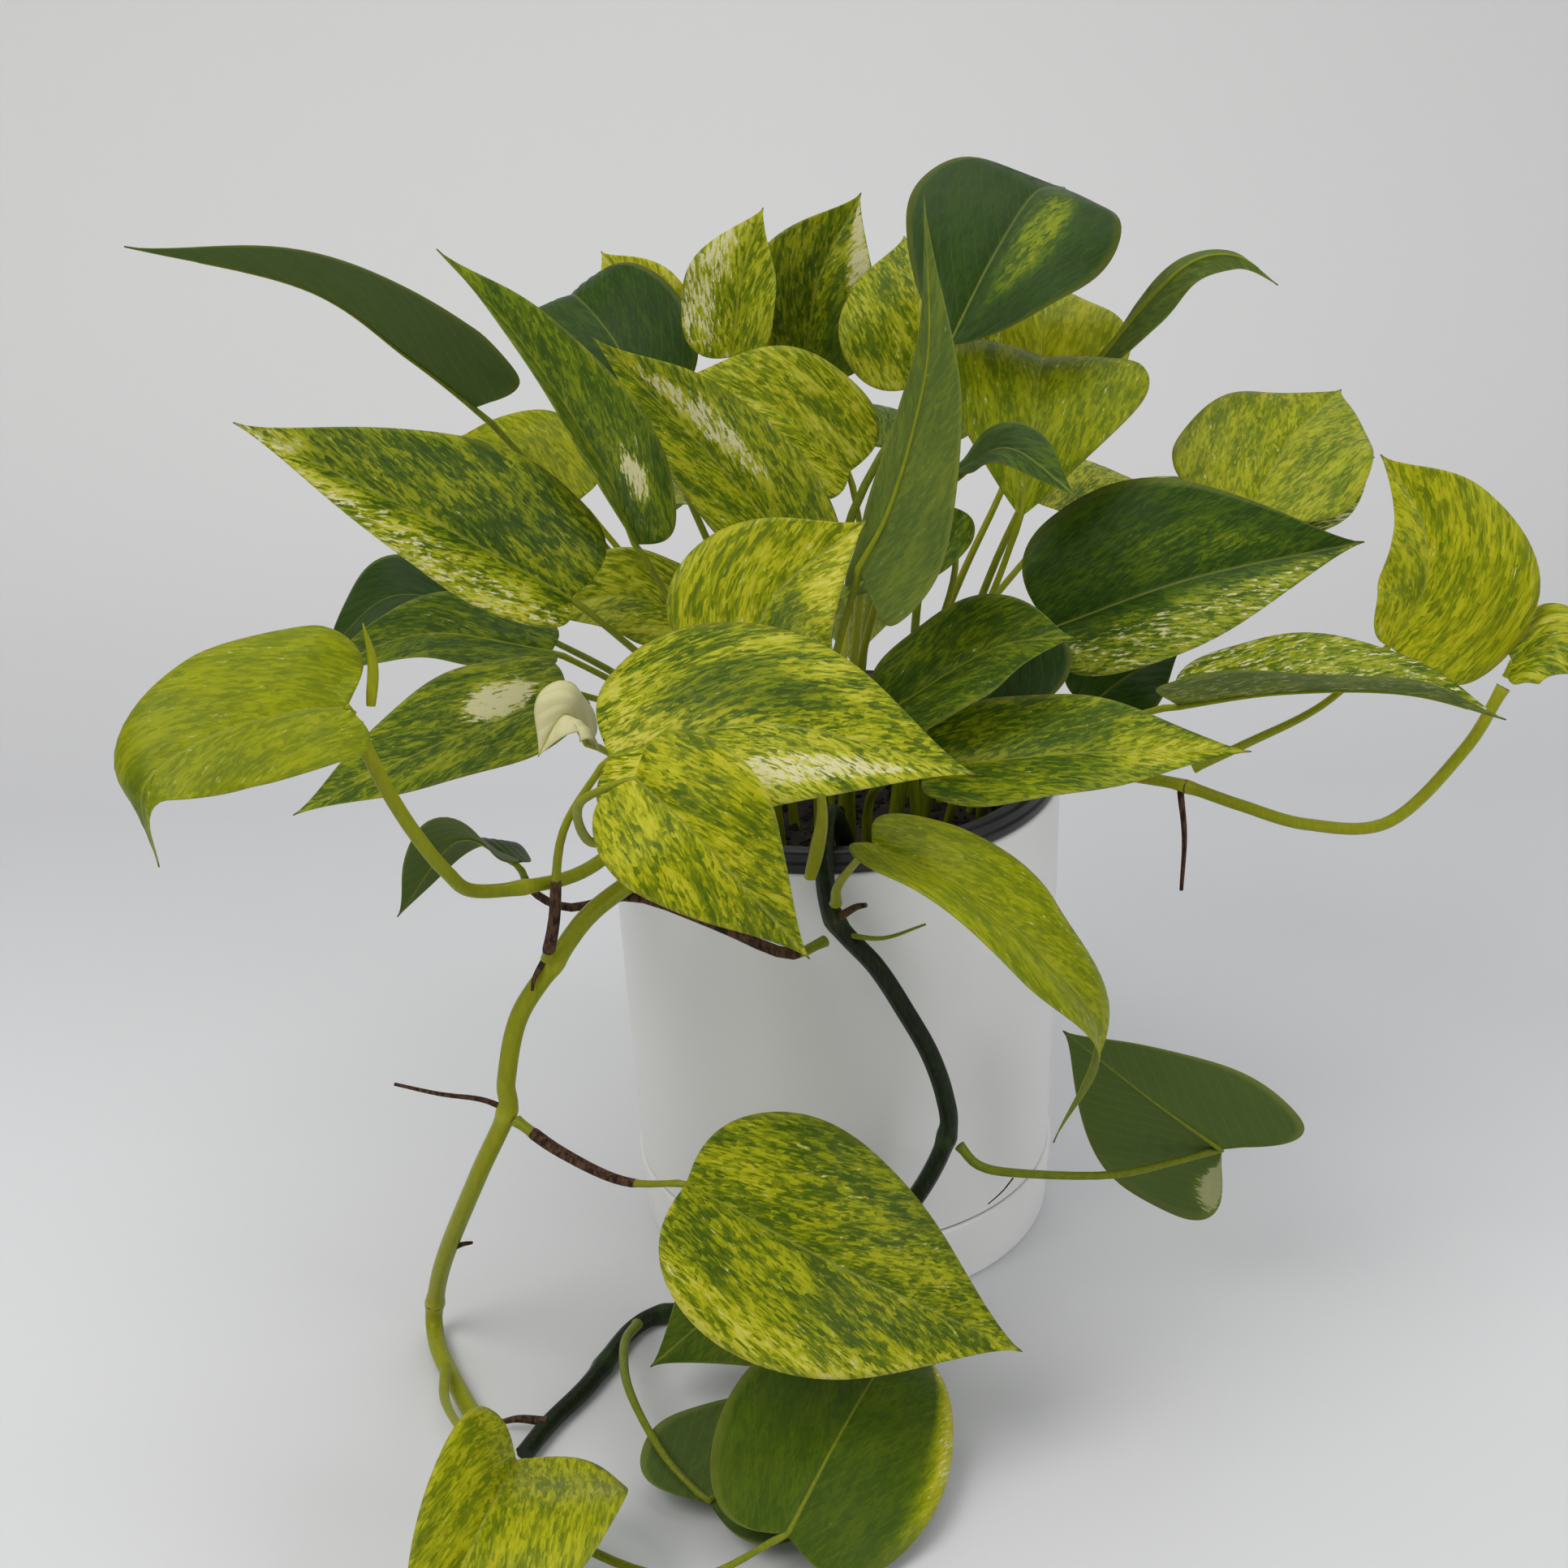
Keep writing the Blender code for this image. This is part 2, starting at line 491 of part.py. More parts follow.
def leaf_solid(name, shape, finish):
    """One solid loft: round rings up the stalk, then lens rings along the heart-shaped blade."""
    rib = [path_point(shape["rib"], u) for u in BLADE_SHARES]
    along = tangents(rib)
    across = leaf_across(shape)
    rings = stalk_rings(shape, rib[0], along[0], across) + blade_rings(shape, rib, along, across)

    loft = bmesh.new()
    rows = [[loft.verts.new(p) for p in ring] for ring in rings]
    for lower, upper in zip(rows, rows[1:]):
        for k in range(RING_POINTS):
            j = (k + 1) % RING_POINTS
            loft.faces.new((lower[k], lower[j], upper[j], upper[k]))
    loft.faces.new(rows[0])
    loft.faces.new(rows[-1][::-1])
    bmesh.ops.recalc_face_normals(loft, faces=loft.faces)
    mesh = bpy.data.meshes.new(name)
    loft.to_mesh(mesh)
    loft.free()
    mesh.shade_smooth()
    return add_object(name, mesh, finish)


def saucer(finish):
    lip_inside = SAUCER_LIP_RADIUS - SAUCER_WALL
    foot_inside = SAUCER_FOOT_RADIUS - SAUCER_WALL
    return turned("pot_saucer", [
        (0.0, SAUCER_FLOOR), (foot_inside - EDGE, SAUCER_FLOOR), (foot_inside, SAUCER_FLOOR + EDGE),
        (lip_inside, SAUCER_HEIGHT), (SAUCER_LIP_RADIUS - EDGE / 2, SAUCER_HEIGHT),
        (SAUCER_LIP_RADIUS, SAUCER_HEIGHT - EDGE), (SAUCER_FOOT_RADIUS, EDGE),
        (SAUCER_FOOT_RADIUS - EDGE, 0.0), (0.0, 0.0),
    ], finish)


def cover_pot(finish):
    """The white pot: its foot nests in the saucer, and its wall steps out over the saucer's lip."""
    foot = SAUCER_FLOOR + GAP
    step = SAUCER_HEIGHT + GAP
    nest_inside = NEST_RADIUS - POT_WALL
    return turned("cover_pot", [
        (0.0, foot + POT_WALL), (nest_inside - EDGE, foot + POT_WALL), (nest_inside, foot + POT_WALL + EDGE),
        (POT_RIM_RADIUS - POT_WALL, POT_HEIGHT), (POT_RIM_RADIUS - EDGE / 2, POT_HEIGHT),
        (POT_RIM_RADIUS, POT_HEIGHT - EDGE / 2), (POT_SEAM_RADIUS, step), (NEST_RADIUS, step),
        (NEST_RADIUS, foot + EDGE), (NEST_RADIUS - EDGE, foot), (0.0, foot),
    ], finish)


def nursery_wall(height):
    """The nursery pot's outer radius at a height under its rim."""
    share = (height - NURSERY_FOOT_LIFT) / (POT_HEIGHT - NURSERY_FOOT_LIFT)
    return NURSERY_FOOT_RADIUS + (NURSERY_TOP_RADIUS - NURSERY_FOOT_RADIUS) * share


def nursery_pot(finish):
    """The black grower's pot, whose stepped rim stands on the white pot's lip."""
    under = POT_HEIGHT + GAP
    top = under + NURSERY_RIM_HEIGHT
    ridge = under + 0.4 * NURSERY_RIM_HEIGHT
    floor = NURSERY_FOOT_LIFT + NURSERY_WALL
    return turned("nursery_pot", [
        (0.0, floor), (NURSERY_FOOT_RADIUS - NURSERY_WALL, floor),
        (NURSERY_TOP_RADIUS - NURSERY_WALL, under), (NURSERY_TOP_RADIUS - NURSERY_WALL, top - EDGE),
        (NURSERY_TOP_RADIUS, top), (NURSERY_RIM_RADIUS - 2 * EDGE, top),
        (NURSERY_RIM_RADIUS - EDGE / 2, top - EDGE), (NURSERY_RIM_RADIUS - EDGE / 2, ridge + EDGE / 2),
        (NURSERY_RIM_RADIUS, ridge), (NURSERY_RIM_RADIUS, under), (NURSERY_TOP_RADIUS, under),
        (NURSERY_FOOT_RADIUS, NURSERY_FOOT_LIFT), (0.0, NURSERY_FOOT_LIFT),
    ], finish)


def soil(finish):
    bottom = NURSERY_FOOT_LIFT + NURSERY_WALL + GAP
    inset = NURSERY_WALL + GAP
    return turned("potting_soil", [
        (0.0, SOIL_TOP), (nursery_wall(SOIL_TOP) - inset, SOIL_TOP),
        (nursery_wall(bottom) - inset, bottom), (0.0, bottom),
    ], finish)


def main():
    clear_scene()
    new_collection(PARTS)
    white = material("white_plastic", (0.80, 0.80, 0.80), 0.35)
    black = material("black_plastic", (0.012, 0.012, 0.013), 0.30)
    earth = material("potting_soil", (0.030, 0.020, 0.014), 0.95)
    stem = material("stem", (0.24, 0.30, 0.03), 0.45)
    saucer(white)
    cover_pot(white)
    nursery_pot(black)
    soil(earth)
    for name, points in SHOOTS.items():
        shoot(name, points, stem)
    for name, route in VINES.items():
        vine(name, route, stem)
    for name, shape in LEAVES.items():
        leaf_solid(name, shape, material(name, TINTS[shape["tint"]], 0.40))


main()
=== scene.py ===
"""The finished look of a potted golden pothos: fine leaf blades with their variegation, stems, soil and pots.

Metres, +Z up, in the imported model's frame. Each leaf is a blade and its stalk as one grown piece, on the
same midrib as the model's plain one. Stems and stalks are swept by one Geometry Nodes tree, and another
scatters the potting mix.
"""

import math
import random
from functools import partial

import bpy
from mathutils import Matrix, Vector, noise


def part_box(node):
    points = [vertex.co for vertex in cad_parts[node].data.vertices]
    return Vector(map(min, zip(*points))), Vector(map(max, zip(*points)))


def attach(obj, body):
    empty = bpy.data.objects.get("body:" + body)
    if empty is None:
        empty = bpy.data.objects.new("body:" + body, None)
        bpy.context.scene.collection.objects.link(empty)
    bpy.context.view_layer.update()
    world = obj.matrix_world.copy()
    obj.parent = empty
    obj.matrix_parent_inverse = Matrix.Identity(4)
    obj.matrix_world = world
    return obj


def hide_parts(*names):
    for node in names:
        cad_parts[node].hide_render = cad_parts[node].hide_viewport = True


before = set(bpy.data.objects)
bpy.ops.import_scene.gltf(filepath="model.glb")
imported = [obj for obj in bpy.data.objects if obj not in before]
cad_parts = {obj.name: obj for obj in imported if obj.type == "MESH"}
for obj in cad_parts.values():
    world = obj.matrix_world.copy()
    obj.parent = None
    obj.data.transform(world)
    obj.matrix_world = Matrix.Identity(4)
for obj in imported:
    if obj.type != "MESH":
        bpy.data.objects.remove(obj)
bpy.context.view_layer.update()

# Where the soil and the stems start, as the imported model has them
SOIL_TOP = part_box("potting_soil")[1][2]
POT_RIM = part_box("cover_pot")[1][2]
GAP = 0.0004
VINE_FOOT = SOIL_TOP + 2 * GAP

# Leaf stalks
ROOT_SPREAD = 0.34
ROOT_LIMIT = 0.060
STALK_FOOT = SOIL_TOP + GAP
STALK_RISE = 0.40
STALK_LEAD = 0.30
STALK_LEAN = 0.60
STALK_POINTS = 5
STALK_SAMPLES = 22
STALK_FOOT_RADIUS = 0.0019
STALK_TIP_RADIUS = 0.0012
STALK_SIDES = 10

# Leaf blades
BLADE_ROWS = 52
ROW_CROWDING = 1.35
BLADE_COLUMNS = 26
BLADE_THICKNESS = 0.0005
MIDRIB_SHARE = 0.94
MIDRIB_TIP_RADIUS = 0.00025
BASE_ROUNDNESS = 0.7
TIP_TAPER = 0.6
LOBE_POWER = 1.2
VEIN_SPACING = 0.0085
VEIN_SLANT = 1.6
VEIN_BEND = 6.0
QUILT_DEPTH = 0.00028
COLUMN_CROWDING = 1.25
TIP_HALF_WIDTH = 0.0002
GROOVE_DEPTH = 0.0005
GROOVE_WIDTH = 0.0013
EDGE_THINNING = 0.6
EDGE_WAVES = 2.3

# A blade's roll in degrees, its edge's wave and how lively its marbling is, where its own look doesn't say
PLAIN_CUP = -12
PLAIN_WAVE = 0.0011
PLAIN_MOTTLE = 0.85

# Where the pale rim and the dry tip start, as shares of the blade's width and length
RIM_START = 0.93
DRY_TIP_START = 0.975
DRY_TIP = 0.8

# The tones of a patch, and how far it fades, as shares of its size: gone at its reach, full at its core
TONES = ("light", "cream", "gold")
PATCH_REACH = 1.25
PATCH_CORE = 0.45

# Stems and their roots
VINE_STEP = 0.0025
VINE_SIDES = 20
ROOT_STEP = 0.0015
JOINT_REACH = 0.0032
SHOOT_RINGS = 30
SHOOT_SIDES = 16
SHOOT_TIP_SHARE = 0.10

# Soil
SOIL_RINGS = 26
SOIL_SPOKES = 72
LUMP_SPACING = 0.011
LUMP_HEIGHT = 0.0011

# Trailing stems, from the soil outwards.
VINES = {
    "vine_front_left": (
        (-0.030, -0.052, VINE_FOOT), (-0.030, -0.053, 0.184), (-0.035, -0.062, 0.200),
        (-0.042, -0.074, 0.206), (-0.051, -0.085, 0.204), (-0.065, -0.096, 0.198),
        (-0.084, -0.111, 0.190), (-0.097, -0.120, 0.176), (-0.110, -0.125, 0.158),
        (-0.116, -0.128, 0.135), (-0.117, -0.128, 0.122), (-0.130, -0.125, 0.094),
        (-0.149, -0.108, 0.047), (-0.158, -0.094, 0.016), (-0.159, -0.096, 0.0045),
        (-0.154, -0.112, 0.004), (-0.141, -0.139, 0.004), (-0.131, -0.157, 0.004),
    ),
    "vine_front_right": (
        (0.004, -0.054, VINE_FOOT), (0.004, -0.055, 0.184), (0.000, -0.065, 0.202), (-0.003, -0.080, 0.207),
        (-0.004, -0.092, 0.194), (-0.001, -0.097, 0.177), (0.013, -0.101, 0.160),
        (0.023, -0.104, 0.143), (0.031, -0.106, 0.127), (0.036, -0.107, 0.110),
        (0.037, -0.107, 0.095), (0.030, -0.105, 0.074), (0.016, -0.104, 0.050),
        (-0.003, -0.104, 0.022), (-0.022, -0.101, 0.007), (-0.045, -0.091, 0.004),
        (-0.068, -0.089, 0.004), (-0.083, -0.098, 0.004), (-0.097, -0.129, 0.004),
        (-0.109, -0.149, 0.004), (-0.117, -0.166, 0.004),
    ),
    "vine_right": (
        (0.056, -0.022, VINE_FOOT), (0.056, -0.023, 0.184), (0.063, -0.029, 0.202),
        (0.080, -0.042, 0.208), (0.111, -0.062, 0.211), (0.124, -0.070, 0.211),
        (0.141, -0.080, 0.208), (0.164, -0.085, 0.202), (0.192, -0.085, 0.202),
        (0.217, -0.080, 0.226), (0.230, -0.075, 0.247),
    ),
    "vine_left": (
        (-0.048, -0.044, VINE_FOOT), (-0.048, -0.045, 0.184), (-0.051, -0.056, 0.202),
        (-0.062, -0.086, 0.213), (-0.083, -0.115, 0.209), (-0.100, -0.130, 0.211),
        (-0.118, -0.140, 0.215), (-0.124, -0.150, 0.227), (-0.131, -0.156, 0.243),
        (-0.138, -0.160, 0.262), (-0.145, -0.160, 0.283),
    ),
}

# Unopened leaves, from their joint on a stem to their tip.
SHOOTS = {
    "shoot_front": ((-0.0090, -0.1010, 0.1960), (-0.0060, -0.1050, 0.2100), (-0.004, -0.109, 0.226),
                    (-0.006, -0.112, 0.252)),
    "shoot_left": ((-0.1410, -0.1520, 0.2860), (-0.1395, -0.1490, 0.2990), (-0.141, -0.149, 0.312)),
}


def leaf(rib, face, width, fold, tint, stalk=None, lobe=0.18, root=None, widest=0.37):
    """One leaf: its midrib from base to tip, the way its upper side looks, its width laid flat, how far
    each half folds up in degrees, its colour, the points of a stalk that grows from a vine, how deep its
    heart-shaped base is as a share of its length, where its stalk leaves the soil if that doesn't follow
    the rule, and how far up its length it is widest."""
    return {"rib": rib, "face": face, "width": width, "fold": fold, "tint": tint, "stalk": stalk,
            "lobe": lobe, "root": root, "widest": widest}


LEAVES = {
    "leaf_far_left": leaf(
        ((-0.125, 0.010, 0.335), (-0.146, 0.005, 0.355), (-0.179, 0.000, 0.382), (-0.239, -0.005, 0.400)),
        (0.45, 0.30, 0.85), 0.066, 42, "dark", root=(-0.0400, 0.0090)),
    "leaf_tall_left": leaf(
        ((-0.064, -0.060, 0.304), (-0.076, -0.055, 0.334), (-0.100, -0.045, 0.372), (-0.126, -0.035, 0.401)),
        (0.60, -0.50, 0.50), 0.050, 40, "green"),
    "leaf_back_left": leaf(
        ((-0.067, 0.060, 0.321), (-0.080, 0.075, 0.343), (-0.095, 0.095, 0.355), (-0.101, 0.120, 0.346)),
        (0.00, -0.70, 0.70), 0.062, 15, "dark"),
    "leaf_back_tip": leaf(
        ((-0.061, 0.100, 0.325), (-0.073, 0.105, 0.352), (-0.085, 0.110, 0.369)),
        (0.00, -0.90, 0.40), 0.040, 10, "yellow"),
    "leaf_big_left": leaf(
        ((-0.086, -0.075, 0.291), (-0.128, -0.090, 0.325), (-0.182, -0.110, 0.365)),
        (-0.10, -0.62, 0.78), 0.060, 24, "green"),
    "leaf_lime_back": leaf(
        ((-0.093, 0.030, 0.292), (-0.117, 0.045, 0.307), (-0.144, 0.060, 0.309)),
        (0.00, -0.75, 0.66), 0.044, 12, "lime"),
    "leaf_centre": leaf(
        ((-0.005, -0.015, 0.276), (-0.044, -0.012, 0.325), (-0.078, -0.020, 0.366)),
        (0.45, -0.75, 0.50), 0.050, 28, "lime"),
    "leaf_centre_back": leaf(
        ((0.010, 0.015, 0.304), (-0.019, 0.020, 0.328), (-0.055, 0.025, 0.338)),
        (0.25, -0.70, 0.66), 0.056, 20, "lime"),
    "leaf_top_a": leaf(
        ((-0.033, 0.056, 0.338), (-0.028, 0.060, 0.368), (-0.019, 0.065, 0.392)),
        (-0.45, -0.85, 0.25), 0.044, 30, "lime"),
    "leaf_top_b": leaf(
        ((-0.006, 0.075, 0.328), (0.001, 0.078, 0.362), (0.018, 0.082, 0.393)),
        (0.00, -0.95, 0.30), 0.058, 24, "lime"),
    "leaf_top_c": leaf(
        ((0.041, 0.040, 0.330), (0.037, 0.055, 0.360), (0.034, 0.082, 0.376)),
        (-0.10, -0.90, 0.40), 0.062, 12, "lime", root=(0.006, 0.026)),
    "leaf_crown": leaf(
        ((0.045, -0.020, 0.359), (0.061, 0.000, 0.383), (0.078, 0.026, 0.400), (0.092, 0.054, 0.397)),
        (-0.15, -0.80, 0.58), 0.076, 10, "dark",
        ((-0.004, -0.018, SOIL_TOP + GAP), (-0.003, -0.026, 0.230), (0.008, -0.038, 0.300),
         (0.033, -0.030, 0.343)), 0.04, widest=0.52),
    "leaf_twisted": leaf(
        ((0.011, -0.092, 0.303), (0.021, -0.091, 0.322), (0.030, -0.088, 0.350), (0.035, -0.086, 0.378),
         (0.034, -0.078, 0.421)),
        (0.85, 0.45, 0.10), 0.044, 50, "green", root=(-0.006, -0.034), widest=0.22),
    "leaf_yellow_back": leaf(
        ((0.083, 0.045, 0.327), (0.086, 0.060, 0.348), (0.090, 0.085, 0.356)),
        (0.00, -0.85, 0.50), 0.066, 10, "yellow"),
    "leaf_curled_tip": leaf(
        ((0.102, 0.030, 0.337), (0.122, 0.030, 0.361), (0.137, 0.028, 0.374), (0.152, 0.026, 0.375),
         (0.166, 0.024, 0.365)),
        (0.60, 0.50, -0.45), 0.017, 40, "green", root=(0.042, 0.010)),
    "leaf_bright_right": leaf(
        ((0.069, -0.030, 0.299), (0.074, -0.018, 0.327), (0.079, 0.004, 0.344), (0.084, 0.030, 0.340)),
        (0.00, -0.85, 0.50), 0.078, 14, "lime", lobe=0.04, root=(0.034, -0.002), widest=0.60),
    "leaf_arched": leaf(
        ((0.043, -0.062, 0.324), (0.061, -0.070, 0.336), (0.082, -0.088, 0.324)),
        (0.00, -0.35, 0.93), 0.030, 15, "dark", root=(0.030, -0.040)),
    "leaf_right_heart": leaf(
        ((0.156, 0.000, 0.291), (0.176, 0.030, 0.306), (0.202, 0.070, 0.313)),
        (-0.05, -0.45, 0.89), 0.074, 16, "lime", lobe=0.30),
    "leaf_right_back": leaf(
        ((0.174, 0.040, 0.272), (0.193, 0.045, 0.281), (0.213, 0.055, 0.290)),
        (0.00, -0.60, 0.80), 0.034, 20, "pale"),
    "leaf_big_right": leaf(
        ((0.080, -0.028, 0.256), (0.129, -0.036, 0.276), (0.189, -0.035, 0.287)),
        (-0.15, -0.65, 0.75), 0.076, 24, "dark", root=(0.034, -0.016)),
    "leaf_far_right": leaf(
        ((0.191, -0.072, 0.262), (0.202, -0.068, 0.281), (0.201, -0.062, 0.303), (0.187, -0.056, 0.325)),
        (0.10, -0.95, 0.20), 0.056, 14, "yellow",
        ((0.127, -0.0655, 0.216), (0.145, -0.068, 0.226), (0.169, -0.072, 0.241)), 0.12),
    "leaf_low_right": leaf(
        ((0.119, -0.076, 0.245), (0.151, -0.094, 0.256), (0.188, -0.106, 0.259), (0.220, -0.112, 0.251)),
        (0.00, -0.12, 0.99), 0.052, 34, "pale"),
    "leaf_edge_right": leaf(
        ((0.232, -0.075, 0.256), (0.245, -0.082, 0.264), (0.262, -0.092, 0.255)),
        (0.00, -0.60, 0.80), 0.034, 14, "lime",
        ((0.2312, -0.0747, 0.2508),)),
    "leaf_front_upright": leaf(
        ((-0.027, -0.100, 0.276), (-0.016, -0.090, 0.296), (0.014, -0.085, 0.318)),
        (-0.15, -0.80, 0.58), 0.064, 20, "lime", root=(-0.020, -0.030)),
    "leaf_front_centre": leaf(
        ((-0.071, -0.135, 0.259), (-0.019, -0.140, 0.270), (0.045, -0.150, 0.255)),
        (0.00, -0.55, 0.83), 0.080, 18, "green",
        ((-0.0985, -0.1240, 0.180), (-0.094, -0.130, 0.198), (-0.088, -0.134, 0.232))),
    "leaf_front_yellow": leaf(
        ((-0.060, -0.170, 0.267), (-0.042, -0.188, 0.257), (-0.029, -0.192, 0.242), (-0.009, -0.185, 0.211)),
        (-0.20, -0.80, 0.56), 0.052, 14, "yellow",
        ((-0.073, -0.1125, 0.2175), (-0.080, -0.136, 0.230), (-0.078, -0.163, 0.256)), 0.22),
    "leaf_left_low": leaf(
        ((-0.092, -0.060, 0.251), (-0.135, -0.085, 0.243), (-0.181, -0.110, 0.230)),
        (-0.10, -0.35, 0.93), 0.056, 16, "green"),
    "leaf_left_lime": leaf(
        ((-0.146, -0.162, 0.290), (-0.162, -0.170, 0.292), (-0.185, -0.178, 0.288), (-0.204, -0.186, 0.276),
         (-0.202, -0.190, 0.252)),
        (-0.35, -0.75, 0.56), 0.054, 8, "lime",
        ((-0.1457, -0.1614, 0.2875),), 0.30),
    "leaf_left_under": leaf(
        ((-0.108, -0.106, 0.208), (-0.129, -0.100, 0.214), (-0.153, -0.098, 0.184)),
        (-0.35, 0.70, 0.62), 0.044, 12, "green",
        ((-0.0045, -0.1040, 0.1725), (-0.018, -0.113, 0.173), (-0.042, -0.116, 0.187),
         (-0.070, -0.100, 0.190), (-0.092, -0.099, 0.186), (-0.104, -0.102, 0.194))),
    "leaf_hanging_right": leaf(
        ((0.012, -0.135, 0.225), (0.041, -0.150, 0.215), (0.064, -0.158, 0.195), (0.083, -0.158, 0.164),
         (0.070, -0.152, 0.119)),
        (0.50, -0.40, 0.75), 0.046, 26, "lime",
        ((-0.0005, -0.1020, 0.1860), (0.001, -0.112, 0.199))),
    "leaf_right_front": leaf(
        ((0.034, -0.095, 0.233), (0.082, -0.105, 0.241), (0.137, -0.115, 0.244)),
        (0.00, -0.35, 0.94), 0.050, 20, "green"),
    "leaf_inner_right": leaf(
        ((0.018, -0.078, 0.246), (0.055, -0.082, 0.270), (0.081, -0.094, 0.278)),
        (0.00, -0.50, 0.86), 0.046, 20, "green"),
    "leaf_inner_dark": leaf(
        ((0.068, -0.050, 0.262), (0.058, -0.066, 0.250), (0.036, -0.078, 0.236)),
        (-0.40, -0.60, 0.70), 0.044, 12, "dark"),
    "leaf_low_dark": leaf(
        ((0.096, -0.010, 0.217), (0.112, -0.005, 0.227), (0.133, 0.005, 0.233)),
        (0.00, -0.60, 0.80), 0.040, 14, "dark", root=(0.048, 0.022)),
    "leaf_left_dark": leaf(
        ((-0.134, 0.025, 0.253), (-0.166, 0.015, 0.261), (-0.193, 0.005, 0.240)),
        (-0.10, -0.30, 0.95), 0.046, 16, "dark"),
    "leaf_left_mid": leaf(
        ((-0.102, -0.015, 0.249), (-0.148, -0.020, 0.259), (-0.188, -0.030, 0.248)),
        (0.00, -0.35, 0.94), 0.040, 18, "green"),
    "leaf_inner_left": leaf(
        ((-0.045, -0.022, 0.262), (-0.075, -0.028, 0.274), (-0.105, -0.038, 0.272)),
        (0.00, -0.60, 0.80), 0.042, 14, "lime"),
    "leaf_trailing_big": leaf(
        ((-0.053, -0.168, 0.118), (-0.001, -0.180, 0.090), (0.058, -0.172, 0.048)),
        (0.15, -0.75, 0.65), 0.082, 10, "lime",
        ((-0.1135, -0.1305, 0.1200), (-0.097, -0.142, 0.114), (-0.075, -0.157, 0.112)), 0.10),
    "leaf_trailing_right": leaf(
        ((0.135, -0.110, 0.086), (0.110, -0.110, 0.107), (0.078, -0.105, 0.134)),
        (-0.20, 0.85, 0.48), 0.070, 6, "green",
        ((0.0410, -0.1100, 0.0905), (0.048, -0.112, 0.083), (0.062, -0.113, 0.080), (0.094, -0.113, 0.078),
         (0.116, -0.111, 0.081)), 0.62),
    "leaf_table_yellow": leaf(
        ((-0.113, -0.203, 0.034), (-0.120, -0.244, 0.040), (-0.146, -0.290, 0.005)),
        (-0.05, -0.35, 0.93), 0.084, 20, "yellow",
        ((-0.1500, -0.1260, 0.0110), (-0.146, -0.150, 0.014), (-0.130, -0.185, 0.026))),
    "leaf_table_front": leaf(
        ((-0.023, -0.228, 0.022), (-0.003, -0.190, 0.034), (0.015, -0.150, 0.034), (0.024, -0.118, 0.018)),
        (0.25, -0.30, 0.92), 0.082, -20, "dark",
        ((-0.1160, -0.1740, 0.0065), (-0.096, -0.214, 0.010), (-0.056, -0.238, 0.014))),
    "leaf_table_back": leaf(
        ((-0.008, -0.138, 0.056), (-0.040, -0.136, 0.046), (-0.073, -0.138, 0.018)),
        (0.10, -0.50, 0.86), 0.060, 10, "dark",
        ((0.0150, -0.1090, 0.0520), (0.006, -0.128, 0.056)), 0.10),
    "leaf_table_under": leaf(
        ((-0.050, -0.200, 0.010), (-0.028, -0.172, 0.010), (-0.006, -0.142, 0.006)),
        (0.00, 0.10, -0.99), 0.072, 2, "dark",
        ((-0.0805, -0.1035, 0.0105), (-0.084, -0.120, 0.014), (-0.080, -0.150, 0.018),
         (-0.066, -0.182, 0.016)), 0.34),
    "leaf_white_curl": leaf(
        ((-0.080, -0.108, 0.252), (-0.087, -0.112, 0.264), (-0.096, -0.118, 0.252)),
        (-0.30, -0.80, 0.50), 0.026, 30, "pale", root=(-0.036, -0.036)),
    "leaf_wavy": leaf(
        ((0.046, -0.006, 0.296), (0.028, -0.018, 0.284), (0.004, -0.030, 0.270)),
        (0.30, -0.50, 0.80), 0.034, 14, "green", root=(0.022, -0.010)),
    "leaf_rear_a": leaf(
        ((0.030, 0.105, 0.285), (0.038, 0.140, 0.290), (0.042, 0.180, 0.262)),
        (0.10, 0.45, 0.88), 0.068, 18, "green"),
    "leaf_rear_b": leaf(
        ((-0.045, 0.110, 0.262), (-0.060, 0.145, 0.262), (-0.078, 0.180, 0.230)),
        (-0.15, 0.45, 0.88), 0.070, 18, "lime"),
    "leaf_rear_c": leaf(
        ((0.098, 0.085, 0.262), (0.126, 0.110, 0.266), (0.160, 0.135, 0.240)),
        (0.30, 0.35, 0.88), 0.066, 20, "lime"),
    "leaf_rear_d": leaf(
        ((-0.105, 0.080, 0.245), (-0.140, 0.100, 0.246), (-0.178, 0.118, 0.218)),
        (-0.30, 0.35, 0.88), 0.064, 18, "green"),
    "leaf_rear_low": leaf(
        ((0.010, 0.118, 0.222), (0.012, 0.146, 0.205), (0.010, 0.172, 0.165)),
        (0.05, 0.75, 0.66), 0.060, 14, "yellow"),
}


def zone(u, s, long, wide, light=None, cream=None, gold=None):
    """A soft oval patch of another tone, centred at u along the blade and s across it."""
    return {"u": u, "s": s, "long": long, "wide": wide, "light": light, "cream": cream, "gold": gold}


# Tone of each kind of leaf: from dark to light green, how much of it is cream, and how golden its green is
LOOKS = {
    "dark": (0.10, 0.00, 0.05),
    "green": (0.36, 0.10, 0.20),
    "lime": (0.58, 0.14, 0.50),
    "yellow": (0.74, 0.10, 0.90),
    "pale": (0.52, 0.42, 0.25),
}

